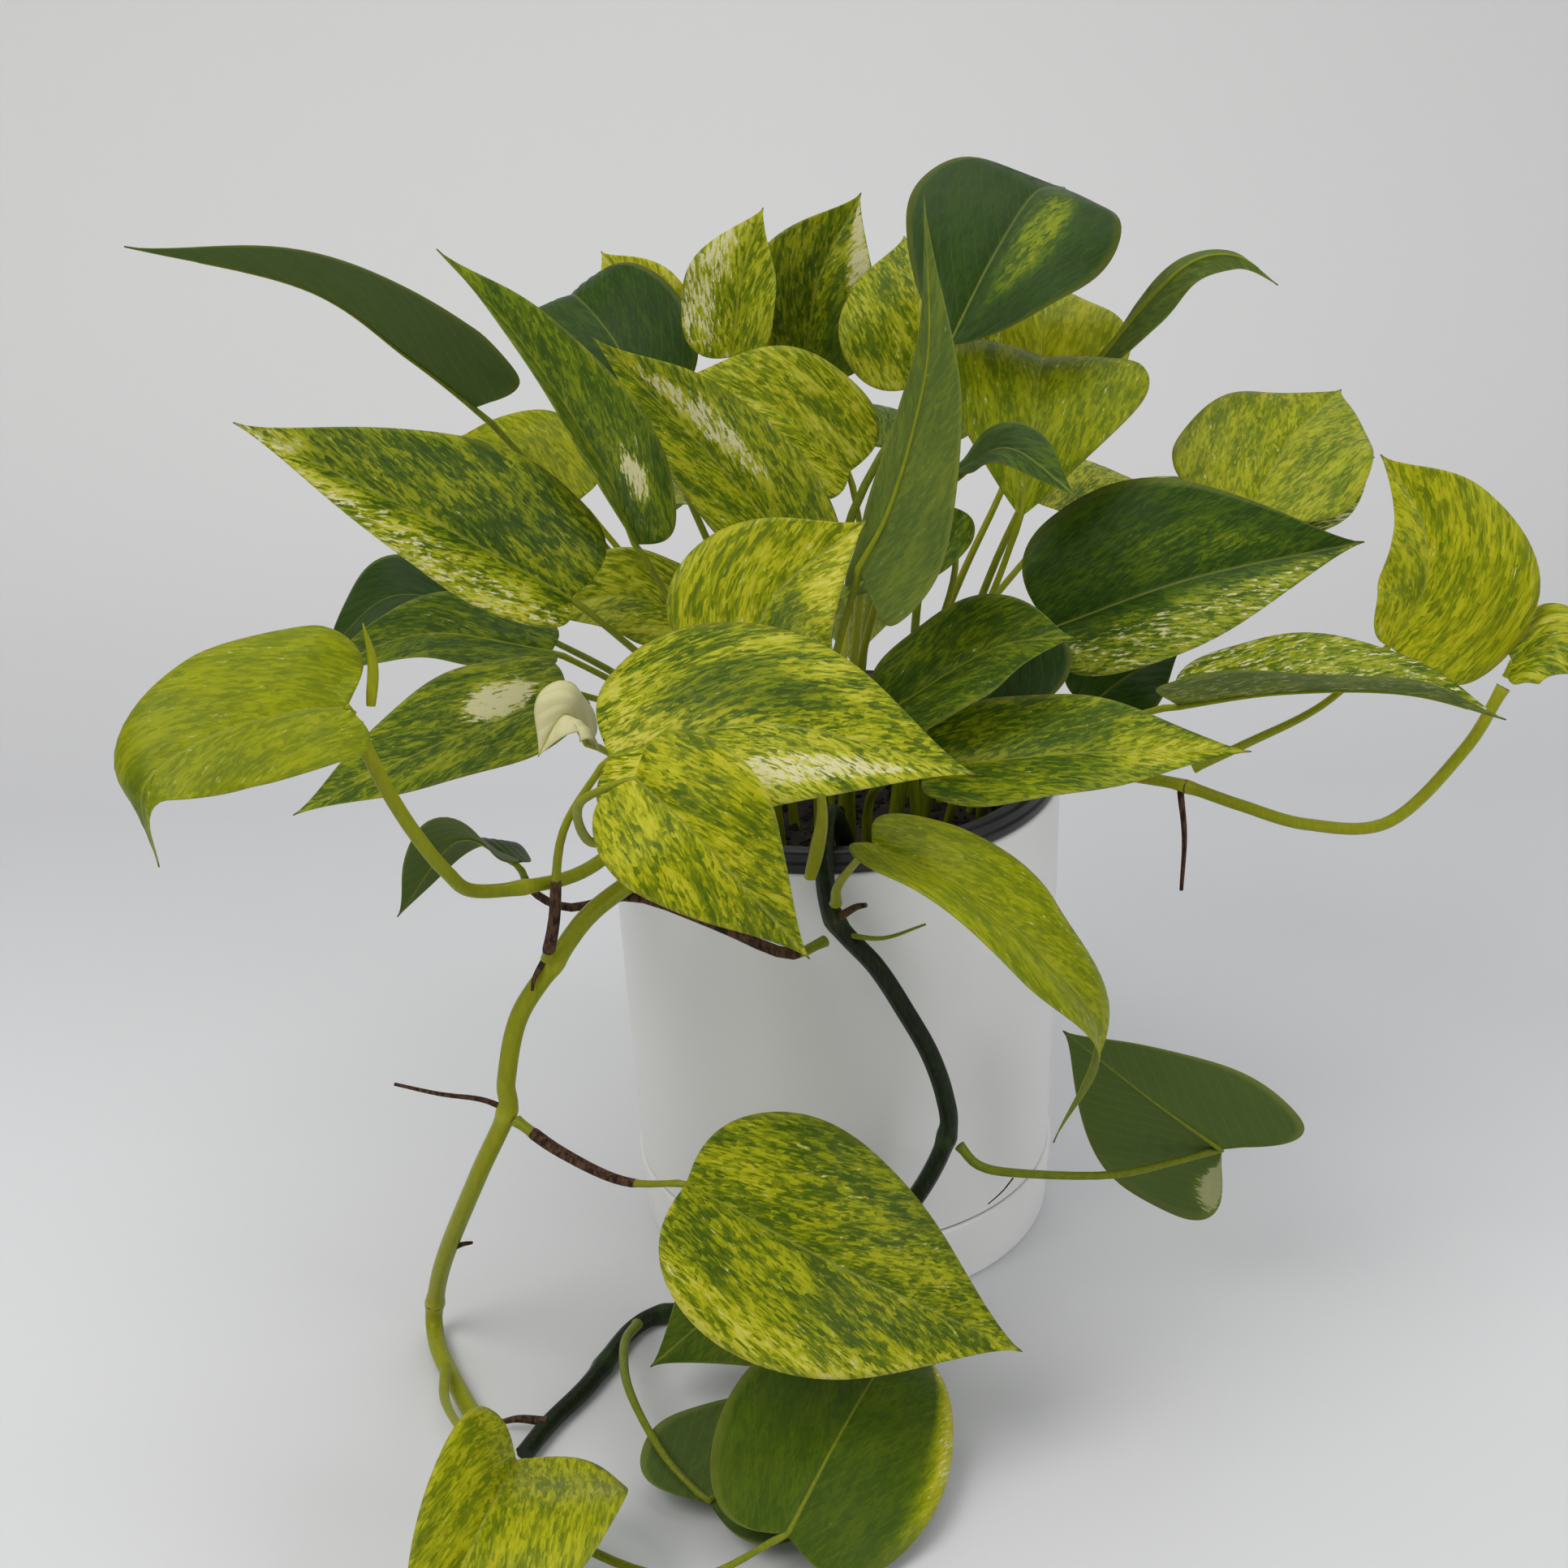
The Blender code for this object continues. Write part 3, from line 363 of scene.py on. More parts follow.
# What a leaf has beyond its plain solid: the share of the width in its left and right half, each half's
# fold, how far the halves roll down again, a twist from base to tip, its edge's wave, and its patches.
# Left and right are as its upper side is seen with the tip up.
FINE = {
    "leaf_far_left": dict(folds=(52, 30), cup=-18, sides=(1.0, 0.66), light=0.14, cream=0.0),
    "leaf_tall_left": dict(folds=(50, 26), cup=-16, sides=(0.8, 0.95), light=0.36, gold=0.3, zones=(
        zone(0.25, 0.40, 0.10, 0.20, light=0.75, cream=0.6),)),
    "leaf_back_left": dict(light=0.14),
    "leaf_big_left": dict(folds=(14, 30), cup=-14, mottle=1.1, sides=(0.72, 1.12), light=0.42, gold=0.3,
        zones=(
        zone(0.45, -0.75, 0.60, 0.50, light=0.70, cream=0.36, gold=0.6),
        zone(0.95, 0.0, 0.12, 1.0, light=0.8, cream=0.4))),
    "leaf_centre": dict(cup=-14, light=0.50, zones=(
        zone(0.60, 0.35, 0.30, 0.26, light=0.72, cream=0.50),)),
    "leaf_centre_back": dict(light=0.62),
    "leaf_top_a": dict(light=0.60, zones=(zone(0.5, -0.7, 0.5, 0.5, light=0.75, cream=0.45),)),
    "leaf_top_b": dict(light=0.50, gold=0.4, zones=(
        zone(0.75, 0.7, 0.30, 0.4, light=0.8, cream=0.6),
        zone(0.25, 0.6, 0.30, 0.4, light=0.25))),
    "leaf_crown": dict(cup=-12, mottle=0.8, wave=0.0016, light=0.10, cream=0.0, zones=(
        zone(0.50, 0.30, 0.38, 0.24, light=0.42, gold=0.2),)),
    "leaf_twisted": dict(folds=(50, 40), cup=-24, mottle=0.6, twist=(0, 30), light=0.42),
    "leaf_bright_right": dict(cup=-12, mottle=0.55, light=0.46, gold=0.75),
    "leaf_right_heart": dict(cup=-10, mottle=0.6, sides=(1.0, 0.95), wave=0.0022, light=0.56, gold=0.65,
        zones=(
        # Painted sheen: the right half is painted paler, for its upper side seen at a grazing angle
        zone(0.55, 0.6, 0.6, 0.5, light=0.62, cream=0.16, gold=0.2),)),
    "leaf_big_right": dict(folds=(26, 16), cup=-12, sides=(1.1, 0.8), light=0.22, zones=(
        # Painted sheen: the narrow right half is painted pale, with some cream, for its upper side catching
        # light at a grazing angle
        zone(0.5, 0.70, 0.7, 0.55, light=0.60, cream=0.30, gold=0.0),
        zone(0.55, -0.3, 0.30, 0.30, light=0.36))),
    "leaf_far_right": dict(cup=-10, mottle=0.7, sides=(0.6, 1.35), wave=0.0020, light=0.56, gold=1.0),
    "leaf_low_right": dict(folds=(30, 58), cup=-14, light=0.50, cream=0.30),
    "leaf_front_upright": dict(cup=-10, light=0.56, gold=0.8, zones=(
        zone(0.80, 0.5, 0.25, 0.5, light=0.75, gold=1.0),
        zone(0.30, 0.3, 0.30, 0.3, light=0.38))),
    "leaf_front_centre": dict(sheath=(0.05, 0.5), mottle=1.15, folds=(16, 20), cup=-20, light=0.56,
        gold=0.6, zones=(
        zone(0.45, -0.35, 0.26, 0.28, light=0.30),
        zone(0.62, 0.55, 0.34, 0.24, light=0.75, cream=0.55),
        zone(0.08, 0.0, 0.16, 0.8, light=0.70, gold=0.8))),
    "leaf_front_yellow": dict(cup=-14, mottle=1.0, light=0.53, gold=1.0),
    "leaf_left_low": dict(light=0.46, zones=(zone(0.25, 0.3, 0.15, 0.35, light=0.75, cream=0.7),)),
    "leaf_left_lime": dict(cup=-16, mottle=0.35, sides=(0.8, 1.1), wave=0.0016, light=0.50, gold=0.85,
        zones=(
        zone(0.90, 0.0, 0.20, 0.8, light=0.40, gold=0.5),)),
    "leaf_left_under": dict(sheath=(0.1, 0.9), mottle=0.3, light=0.26),
    "leaf_hanging_right": dict(folds=(20, 34), cup=-26, mottle=0.4, light=0.54, gold=0.7),
    "leaf_right_front": dict(folds=(26, 16), cup=-12, light=0.46, zones=(
        zone(0.85, 0.0, 0.25, 0.9, light=0.72, gold=0.6),)),
    "leaf_trailing_big": dict(sheath=(0.1, 0.7), cup=-14, mottle=1.1, wave=0.0014, light=0.45, gold=0.85,
        zones=(
        zone(0.40, 0.92, 0.50, 0.26, light=0.64, cream=0.20, gold=0.8),
        zone(0.55, -0.9, 0.50, 0.30, light=0.38, gold=0.6))),
    "leaf_trailing_right": dict(cup=-8, mottle=0.4, sides=(0.95, 1.2), light=0.18, cream=0.0, zones=(
        zone(0.06, 0.7, 0.12, 0.3, light=0.8, cream=0.9),)),
    "leaf_table_yellow": dict(folds=(12, 70), cup=-10, mottle=0.7, sides=(1.0, 0.65), wave=0.0022,
        light=0.55, gold=1.0),
    "leaf_table_front": dict(cup=4, mottle=0.35, light=0.30, gold=0.30, zones=(
        zone(0.62, 0.95, 0.40, 0.18, light=0.80, cream=0.30, gold=0.9),)),
    "leaf_table_back": dict(mottle=0.5, light=0.30, gold=0.3),
    "leaf_table_under": dict(light=0.22),
    "leaf_white_curl": dict(light=0.95, cream=1.6, folds=(60, 60), cup=-70),
    "leaf_right_back": dict(light=0.60, cream=0.40),
    "leaf_arched": dict(light=0.26),
    "leaf_yellow_back": dict(mottle=0.5, light=0.62),
    "leaf_lime_back": dict(mottle=0.5, light=0.56, gold=0.9),
}


def path_point(points, share):
    """The point at a share of the way along a Catmull-Rom curve through the given ones."""
    knots = [Vector(p) for p in points]
    knots = [2 * knots[0] - knots[1], *knots, 2 * knots[-1] - knots[-2]]
    at = share * (len(points) - 1)
    k = min(int(at), len(points) - 2)
    t = at - k
    a, b, c, d = knots[k:k + 4]
    return 0.5 * (2 * b + (c - a) * t + (2 * a - 5 * b + 4 * c - d) * t * t
                  + (3 * b - a - 3 * c + d) * t ** 3)


def smooth_path(points, count):
    """Evenly shared points on the curve through the given ones."""
    return [path_point(points, i / (count - 1)) for i in range(count)]


def tangents(path):
    last = len(path) - 1
    return [(path[min(i + 1, last)] - path[max(i - 1, 0)]).normalized() for i in range(last + 1)]


def half_width(u, widest):
    """The blade's half width at u of its length, as a share of the widest: round at the base and drawn
    out to the tip."""
    if u >= 1:
        return 0.0
    swell = math.sin(math.pi * u ** (math.log(0.5) / math.log(widest)))
    return swell ** (BASE_ROUNDNESS + TIP_TAPER * u)


def bezier(handles, t):
    a, b, c, d = handles
    return (1 - t) ** 3 * a + 3 * t * (1 - t) ** 2 * b + 3 * t * t * (1 - t) * c + t ** 3 * d


def stalk_path(shape, base, direction):
    """The stalk's points up to the blade: from a vine along its own ones, or up out of the soil."""
    if shape["stalk"]:
        return [Vector(p) for p in shape["stalk"]] + [base]
    flat = Vector((*shape["root"], 0)) if shape["root"] else Vector((base.x, base.y, 0)) * ROOT_SPREAD
    if flat.length > ROOT_LIMIT:
        flat *= ROOT_LIMIT / flat.length
    foot = Vector((flat.x, flat.y, STALK_FOOT))
    reach = (base - foot).length
    arrive = ((base - foot).normalized() + STALK_LEAN * direction).normalized()
    handles = (foot, foot + Vector((0, 0, STALK_RISE * reach)), base - STALK_LEAD * reach * arrive, base)
    return [bezier(handles, i / (STALK_POINTS - 1)) for i in range(STALK_POINTS)]


def leaf_across(shape):
    """The direction from the leaf's midrib to its right edge, seen from above with the tip up."""
    onward = path_point(shape["rib"], 0.55) - path_point(shape["rib"], 0.45)
    return onward.cross(Vector(shape["face"])).normalized()


def squared(side, tangent):
    """The side direction turned square to the tangent, and the upward one square to both."""
    side = (side - side.dot(tangent) * tangent).normalized()
    return side, side.cross(tangent)


# ---------------------------------------------------------------- colours and nodes

def linear(hex_colour):
    """An sRGB hex colour as linear RGBA."""
    parts = [int(hex_colour[i:i + 2], 16) / 255 for i in (1, 3, 5)]
    return (*(c / 12.92 if c <= 0.04045 else ((c + 0.055) / 1.055) ** 2.4 for c in parts), 1.0)


def feed(tree, target, inputs):
    """Fills or links a node's inputs, in order or by name or place. A node given as a value is linked
    from its first output in use."""
    if not isinstance(inputs, dict):
        inputs = dict(zip((place for place, socket in enumerate(target.inputs) if socket.enabled), inputs))
    for key, value in inputs.items():
        if isinstance(value, bpy.types.Node):
            value = next(output for output in value.outputs if output.enabled)
        if isinstance(value, bpy.types.NodeSocket):
            tree.links.new(value, target.inputs[key])
        else:
            target.inputs[key].default_value = value


def node(tree, kind, inputs=(), **settings):
    """Adds a node, sets its properties and feeds its inputs. Stops are a colour ramp's, in order."""
    made = tree.nodes.new(kind)
    stops = settings.pop("stops", ())
    for place, _ in stops[1:-1]:
        made.color_ramp.elements.new(place)
    for count, (place, colour) in enumerate(stops):
        element = made.color_ramp.elements[count]
        element.position, element.color = place, linear(colour)
    for key, value in settings.items():
        setattr(made, key, value)
    feed(tree, made, inputs)
    return made


def new_material(name):
    made = bpy.data.materials.new(name)
    made.use_nodes = True
    return made, made.node_tree, made.node_tree.nodes["Principled BSDF"]


# ---------------------------------------------------------------- materials

MATH, VECTOR, MIX, STEP = "ShaderNodeMath", "ShaderNodeVectorMath", "ShaderNodeMix", "ShaderNodeMapRange"
NOISE, RAMP, ATTRIBUTE = "ShaderNodeTexNoise", "ShaderNodeValToRGB", "ShaderNodeAttribute"
COLOUR = {"data_type": "RGBA"}
SMOOTH = {"interpolation_type": "SMOOTHSTEP"}

# Sizes of the leaf's patterns: along the midrib with the side veins' slant taken out, outwards from the
# midrib, and from leaf to leaf
DRIFT_SIZE = (0.006, 0.010, 0.13)
DRIFT_REACH = (0.0026, 0.0026, 0.0)
PATCH_SIZE = (0.016, 0.008, 0.17)
MARBLE_SIZE = (0.0030, 0.0019, 0.11)
FLECK_SIZE = (0.0022, 0.0010, 0.07)
CUTICLE_RELIEF = 0.00025
FIBRE_SIZE = (0.0012, 0.0012, 0.0050)
FIBRE_CHANGE = 0.012
FIBRE_RELIEF = 0.0003
PLASTIC_CLOUD = (0.05, 0.05, 0.09)
SOIL_GRAIN = (0.004, 0.004, 0.004)
SOIL_RELIEF = 0.0010

LEAF_GREENS = [(0.0, "#233A0B"), (0.18, "#2B450E"), (0.34, "#3D560E"), (0.48, "#586D0C"), (0.62, "#7B880E"),
               (0.78, "#989E24"), (0.98, "#AEB04A")]
LEAF_GOLDS = [(0.0, "#344A04"), (0.24, "#506404"), (0.42, "#727E04"), (0.58, "#949A04"), (0.76, "#B4B218"),
              (0.98, "#CCC652")]
STEM_GREENS = [(0.0, "#10180A"), (0.25, "#34451A"), (0.5, "#7A8410"), (0.72, "#9A9C12"), (1.0, "#BCBB66")]
SOIL_BROWNS = [(0.30, "#0B0806"), (0.5, "#1B130E"), (0.62, "#2B1E15"), (0.80, "#4A3626")]
# The paper's white, greyer at the bend and lighter again up the wall: painted shade of the light falling off
# with depth
PAPER_WHITES_AND_PAINTED_FALLOFF = [(0.0, "#E0E1E3"), (0.22, "#DCDDE0"), (0.46, "#CBCCCF"), (0.75, "#D6D6D7"), (1.0, "#DDDDDD")]


def leaf_material():
    """Living pothos leaf: a waxy cuticle over marbled green and yellow tissue. The marbling runs in streaks
    along the side veins, about 3.5 mm long and a third as wide, broken by 2 mm flecks. The underside is
    paler and matt."""
    made, tree, shader = new_material("waxy_pothos_leaf")
    add = partial(node, tree)
    light, cream, gold, under, rim, dry, mottle = (
        add(ATTRIBUTE, attribute_name=name).outputs["Fac"]
        for name in ("light", "cream", "gold", "under", "rim", "dry", "mottle"))
    vein = add(ATTRIBUTE, attribute_name="vein").outputs["Vector"]
    along, outward = add("ShaderNodeSeparateXYZ", (vein,)).outputs[:2]

    spread = add(VECTOR, (vein, DRIFT_SIZE), operation="DIVIDE")
    drift = add(NOISE, {"Vector": spread, "Scale": 1.0, "Detail": 3.0})
    shifted = add(VECTOR, (drift.outputs["Color"], DRIFT_REACH, vein), operation="MULTIPLY_ADD")
    spread = add(VECTOR, (vein, PATCH_SIZE), operation="DIVIDE")
    patch = add(NOISE, {"Vector": spread, "Scale": 1.0, "Detail": 3.0})
    spread = add(VECTOR, (shifted, MARBLE_SIZE), operation="DIVIDE")
    marble = add(NOISE, {"Vector": spread, "Scale": 1.0, "Detail": 5.0, "Roughness": 0.66})
    spread = add(VECTOR, (shifted, FLECK_SIZE), operation="DIVIDE")
    fleck = add("ShaderNodeTexVoronoi", {"Vector": spread, "Scale": 1.0})
    cell = add("ShaderNodeSeparateColor", (fleck.outputs["Color"],)).outputs

    # Dark tissue is even, the lighter tones are restless, and some leaves hardly vary
    lively = add(MATH, (light, 1.1, 0.25), operation="MULTIPLY_ADD", use_clamp=True)
    lively = add(MATH, (lively, mottle), operation="MULTIPLY")
    patchy = add(MATH, (patch, 0.60, -0.30), operation="MULTIPLY_ADD")
    flecked = add(MATH, (cell[0], 0.20, -0.10), operation="MULTIPLY_ADD")
    wander = add(MATH, (patchy, flecked), operation="ADD")
    wander = add(MATH, (marble, wander), operation="ADD")
    marbled = add(STEP, (wander, 0.33, 0.67), **SMOOTH)
    marbled = add(MATH, (marbled, 0.40, -0.20), operation="MULTIPLY_ADD")
    restless = add(MATH, (patchy, 0.95, marbled), operation="MULTIPLY_ADD")
    restless = add(MATH, (restless, flecked), operation="ADD")
    tone = add(MATH, (restless, lively, light), operation="MULTIPLY_ADD", use_clamp=True)
    green = add(RAMP, (tone,), stops=LEAF_GREENS)
    golden = add(RAMP, (tone,), stops=LEAF_GOLDS)
    tissue = add(MIX, (gold, green, golden), **COLOUR)

    # Cream sectors, frayed into flecks at their edges
    frayed = add(MATH, (marble, 1.3, -0.65), operation="MULTIPLY_ADD")
    pale = add(MATH, (cream, frayed), operation="ADD")
    broken = add(MATH, (cell[1], 0.34, -0.17), operation="MULTIPLY_ADD")
    pale = add(MATH, (pale, broken), operation="ADD")
    pale = add(STEP, (pale, 0.40, 0.56), **SMOOTH)
    tissue = add(MIX, (pale, tissue, linear("#D2CD9C")), **COLOUR)

    # Side veins: fine lines a little paler than the leaf; the midrib is a broader one
    spacing = add(MATH, (along, VEIN_SPACING), operation="DIVIDE")
    spacing = add(MATH, (spacing, 0.5), operation="PINGPONG")
    side_vein = add(STEP, (spacing, 0.05, 0.0), **SMOOTH)
    seen = add(MATH, (side_vein, 0.08), operation="MULTIPLY")
    tissue = add(MIX, (seen, tissue, linear("#98A040")), **COLOUR)
    from_rib = add(MATH, (outward,), operation="ABSOLUTE")
    midrib = add(STEP, (from_rib, 0.0007, 0.0002), **SMOOTH)
    strength = add(MATH, (light, 0.5, 0.12), operation="MULTIPLY_ADD")
    midrib = add(MATH, (midrib, strength), operation="MULTIPLY")
    tissue = add(MIX, (midrib, tissue, linear("#A5AA48")), **COLOUR)

    # The underside, the pale rim and the dry tip
    below = add(MIX, (0.55, tissue, linear("#5F7038")), **COLOUR)
    seen = add(MATH, (side_vein, 0.12), operation="MULTIPLY")
    below = add(MIX, (seen, below, linear("#8C9A5C")), **COLOUR)
    skin = add(MIX, (under, tissue, below), **COLOUR)
    edge = add(MATH, (rim, 0.22), operation="MULTIPLY")
    skin = add(MIX, (edge, skin, linear("#AFAE52")), **COLOUR)
    skin = add(MIX, (dry, skin, linear("#4A3420")), **COLOUR)

    # The cuticle shines, the underside doesn't
    shine = add(MATH, (patch, 0.14, 0.34), operation="MULTIPLY_ADD")
    shine = add(MATH, (under, 0.16, shine), operation="MULTIPLY_ADD")
    raised = add(MATH, (fleck, 0.35), operation="MULTIPLY")
    sunk = add(MATH, (side_vein, -0.6), operation="MULTIPLY")
    height = add(MATH, (raised, sunk), operation="ADD")
    bump = add("ShaderNodeBump", {"Strength": 0.35, "Distance": CUTICLE_RELIEF, "Height": height})
    feed(tree, shader, {
        "Base Color": skin, "Roughness": shine, "Normal": bump, "Specular IOR Level": 0.12,
        "Subsurface Weight": 0.05, "Subsurface Radius": (0.8, 1.0, 0.25), "Subsurface Scale": 0.0015})
    return made


def stem_material():
    """Living green stem and stalk: a smooth skin with fine lengthwise fibres, brown where a dry sheath or
    an aerial root is."""
    made, tree, shader = new_material("green_stem")
    add = partial(node, tree)
    light, dry = (add(ATTRIBUTE, attribute_name=name).outputs["Fac"] for name in ("light", "dry"))
    vein = add(ATTRIBUTE, attribute_name="vein").outputs["Vector"]
    along = add("ShaderNodeSeparateXYZ", (vein,)).outputs[0]
    place = add("ShaderNodeTexCoord").outputs["Object"]
    spread = add(VECTOR, (place, FIBRE_SIZE), operation="DIVIDE")
    change = add(MATH, (along, FIBRE_CHANGE), operation="DIVIDE")
    fibre = add(NOISE, {"Vector": spread, "W": change, "Scale": 1.0, "Detail": 4.0}, noise_dimensions="4D")

    shade = add(MATH, (fibre, 0.30, -0.15), operation="MULTIPLY_ADD")
    shade = add(MATH, (light, shade), operation="ADD")
    tint = add(RAMP, (shade,), stops=STEM_GREENS)
    grain = add(STEP, (fibre, 0.35, 0.65), **SMOOTH)
    bark = add(MIX, (grain, linear("#20150F"), linear("#5C412C")), **COLOUR)
    worn = add(MATH, (fibre, 0.5, -0.25), operation="MULTIPLY_ADD")
    worn = add(MATH, (dry, worn), operation="ADD")
    worn = add(STEP, (worn, 0.42, 0.58), **SMOOTH)
    feed(tree, shader, {
        "Base Color": add(MIX, (worn, tint, bark), **COLOUR),
        "Roughness": add(MATH, (worn, 0.35, 0.38), operation="MULTIPLY_ADD"),
        "Normal": add("ShaderNodeBump", {"Strength": 0.30, "Distance": FIBRE_RELIEF, "Height": fibre}),
        "Specular IOR Level": 0.20, "Subsurface Weight": 0.10, "Subsurface Radius": (0.8, 1.0, 0.3),
        "Subsurface Scale": 0.0015})
    return made


def plastic_material(name, colour, roughness, grain, depth):
    """Moulded polypropylene: one colour all through, with the mould's faint grain in its gloss."""
    made, tree, shader = new_material(name)
    add = partial(node, tree)
    place = add("ShaderNodeTexCoord").outputs["Object"]
    spread = add(VECTOR, (place, (grain,) * 3), operation="DIVIDE")
    fine = add(NOISE, {"Vector": spread, "Scale": 1.0, "Detail": 3.0})
    spread = add(VECTOR, (place, PLASTIC_CLOUD), operation="DIVIDE")
    broad = add(NOISE, {"Vector": spread, "Scale": 1.0, "Detail": 2.0})
    base = linear(colour)
    shade = tuple(c * 0.955 for c in base[:3]) + (1.0,)
    feed(tree, shader, {
        "Base Color": add(MIX, (broad, shade, base), **COLOUR),
        "Roughness": add(MATH, (broad, 0.10, roughness - 0.05), operation="MULTIPLY_ADD"),
        "Normal": add("ShaderNodeBump", {"Strength": 0.25, "Distance": depth, "Height": fine}),
        "IOR": 1.49})
    return made


def soil_material():
    """Damp potting mix: composted bark and peat, near black, with a few paler fibres."""
    made, tree, shader = new_material("bark_and_peat")
    add = partial(node, tree)
    place = add("ShaderNodeTexCoord").outputs["Object"]
    spread = add(VECTOR, (place, SOIL_GRAIN), operation="DIVIDE")
    lumps = add(NOISE, {"Vector": spread, "Scale": 1.0, "Detail": 6.0})
    feed(tree, shader, {
        "Base Color": add(RAMP, (lumps,), stops=SOIL_BROWNS), "Roughness": 0.88,
        "Normal": add("ShaderNodeBump", {"Strength": 0.8, "Distance": SOIL_RELIEF, "Height": lumps})})
    return made


# ---------------------------------------------------------------- growing trees

def new_tree(name, sockets):
    tree = bpy.data.node_groups.new(name, "GeometryNodeTree")
    tree.interface.new_socket("Geometry", in_out="INPUT", socket_type="NodeSocketGeometry")
    for label, kind in sockets:
        tree.interface.new_socket(label, in_out="INPUT", socket_type="NodeSocket" + kind)
    tree.interface.new_socket("Geometry", in_out="OUTPUT", socket_type="NodeSocketGeometry")
    return tree, node(tree, "NodeGroupInput"), node(tree, "NodeGroupOutput")


def stem_tree():
    """Sweeps the edges marked "path" into tubes of their "girth", with a ridged section, and keeps the
    faces beside them as they are."""
    tree, given, result = new_tree("grow_stems", [
        ("Sides", "Int"), ("Ridges", "Int"), ("Ridge Depth", "Float"), ("Stem Material", "Material")])
    add = partial(node, tree)
    parts = add("GeometryNodeSeparateGeometry",
                {"Geometry": given.outputs["Geometry"],
                 "Selection": add("GeometryNodeInputNamedAttribute", {"Name": "path"},
                                  data_type="FLOAT")})
    line = add("GeometryNodeMeshToCurve", {"Mesh": parts.outputs["Selection"]})
    circle = add("GeometryNodeCurvePrimitiveCircle",
                 {"Resolution": given.outputs["Sides"], "Radius": 1.0})
    spot = add("GeometryNodeInputPosition").outputs[0]
    flat = add("ShaderNodeSeparateXYZ", (spot,)).outputs
    angle = add("ShaderNodeMath", (flat[1], flat[0]), operation="ARCTAN2")
    swell = add("ShaderNodeMath",
                (add("ShaderNodeMath",
                     (add("ShaderNodeMath", (angle, given.outputs["Ridges"]), operation="MULTIPLY"),),
                     operation="COSINE"), given.outputs["Ridge Depth"]), operation="MULTIPLY")
    push = add("ShaderNodeVectorMath", {0: spot, "Scale": swell}, operation="SCALE")
    section = add("GeometryNodeSetPosition", {"Geometry": circle, "Offset": push})
    swept = add("GeometryNodeCurveToMesh",
                {"Curve": line, "Profile Curve": section,
                 "Scale": add("GeometryNodeInputNamedAttribute", {"Name": "girth"}, data_type="FLOAT"),
                 "Fill Caps": True})
    smooth = add("GeometryNodeSetShadeSmooth", {0: swept, "Shade Smooth": True})
    skin = add("GeometryNodeSetMaterial", {0: smooth, "Material": given.outputs["Stem Material"]})
    joined = add("GeometryNodeJoinGeometry")
    tree.links.new(skin.outputs[0], joined.inputs[0])
    tree.links.new(parts.outputs["Inverted"], joined.inputs[0])
    real = add("GeometryNodeRealizeInstances", (joined,))
    tree.links.new(real.outputs[0], result.inputs[0])
    return tree


def crumb_tree():
    """Scatters angular crumbs over the faces, each a coarse ball squashed and turned its own way."""
    tree, given, result = new_tree("scatter_crumbs", [
        ("Density", "Float"), ("Smallest", "Float"), ("Largest", "Float"), ("Seed", "Int"),
        ("Crumb Material", "Material")])
    add = partial(node, tree)
    spots = add("GeometryNodeDistributePointsOnFaces",
                {"Mesh": given.outputs["Geometry"], "Density": given.outputs["Density"],
                 "Seed": given.outputs["Seed"]})
    ball = add("GeometryNodeMeshIcoSphere", {"Radius": 1.0, "Subdivisions": 2})
    rough = add("ShaderNodeTexNoise", {"Scale": 1.3, "Detail": 1.0})
    dent = add("ShaderNodeVectorMath", (rough.outputs["Color"], (1.4, 1.4, 1.4), (-0.7, -0.7, -0.7)),
               operation="MULTIPLY_ADD")
    crumb = add("GeometryNodeSetPosition", {"Geometry": ball, "Offset": dent})
    size = add("FunctionNodeRandomValue",
               {2: given.outputs["Smallest"], 3: given.outputs["Largest"], "Seed": given.outputs["Seed"]},
               data_type="FLOAT")
    squash = add("FunctionNodeRandomValue", {0: (0.6, 0.6, 0.35), 1: (1.5, 1.1, 0.8), "Seed": 5},
                 data_type="FLOAT_VECTOR")
    scale = add("ShaderNodeVectorMath", {0: squash, "Scale": size.outputs[1]}, operation="SCALE")
    turn = add("FunctionNodeRandomValue",
               {0: (0.0, 0.0, 0.0), 1: (math.tau, math.tau, math.tau), "Seed": 9},
               data_type="FLOAT_VECTOR")
    placed = add("GeometryNodeInstanceOnPoints",
                 {"Points": spots, "Instance": crumb, "Rotation": turn, "Scale": scale})
    real = add("GeometryNodeRealizeInstances", (placed,))
    joined = add("GeometryNodeJoinGeometry")
    tree.links.new(real.outputs[0], joined.inputs[0])
    tree.links.new(given.outputs["Geometry"], joined.inputs[0])
    skin = add("GeometryNodeSetMaterial", {0: joined, "Material": given.outputs["Crumb Material"]})
    tree.links.new(skin.outputs[0], result.inputs[0])
    return tree


def grown(name, mesh, tree, values):
    """The mesh after the tree, as a plain mesh object. Values are the tree's inputs by name."""
    seedling = bpy.data.objects.new(name + "_seed", mesh)
    bpy.context.scene.collection.objects.link(seedling)
    growth = seedling.modifiers.new("Grow", "NODES")
    growth.node_group = tree
    for item in tree.interface.items_tree:
        if item.in_out == "INPUT" and item.name in values:
            growth[item.identifier] = values[item.name]
    evaluated = seedling.evaluated_get(bpy.context.evaluated_depsgraph_get())
    final = bpy.data.meshes.new_from_object(evaluated)
    final.name = name
    bpy.data.objects.remove(seedling, do_unlink=True)
    made = bpy.data.objects.new(name, final)
    bpy.context.scene.collection.objects.link(made)
    return made


# ---------------------------------------------------------------- mesh building

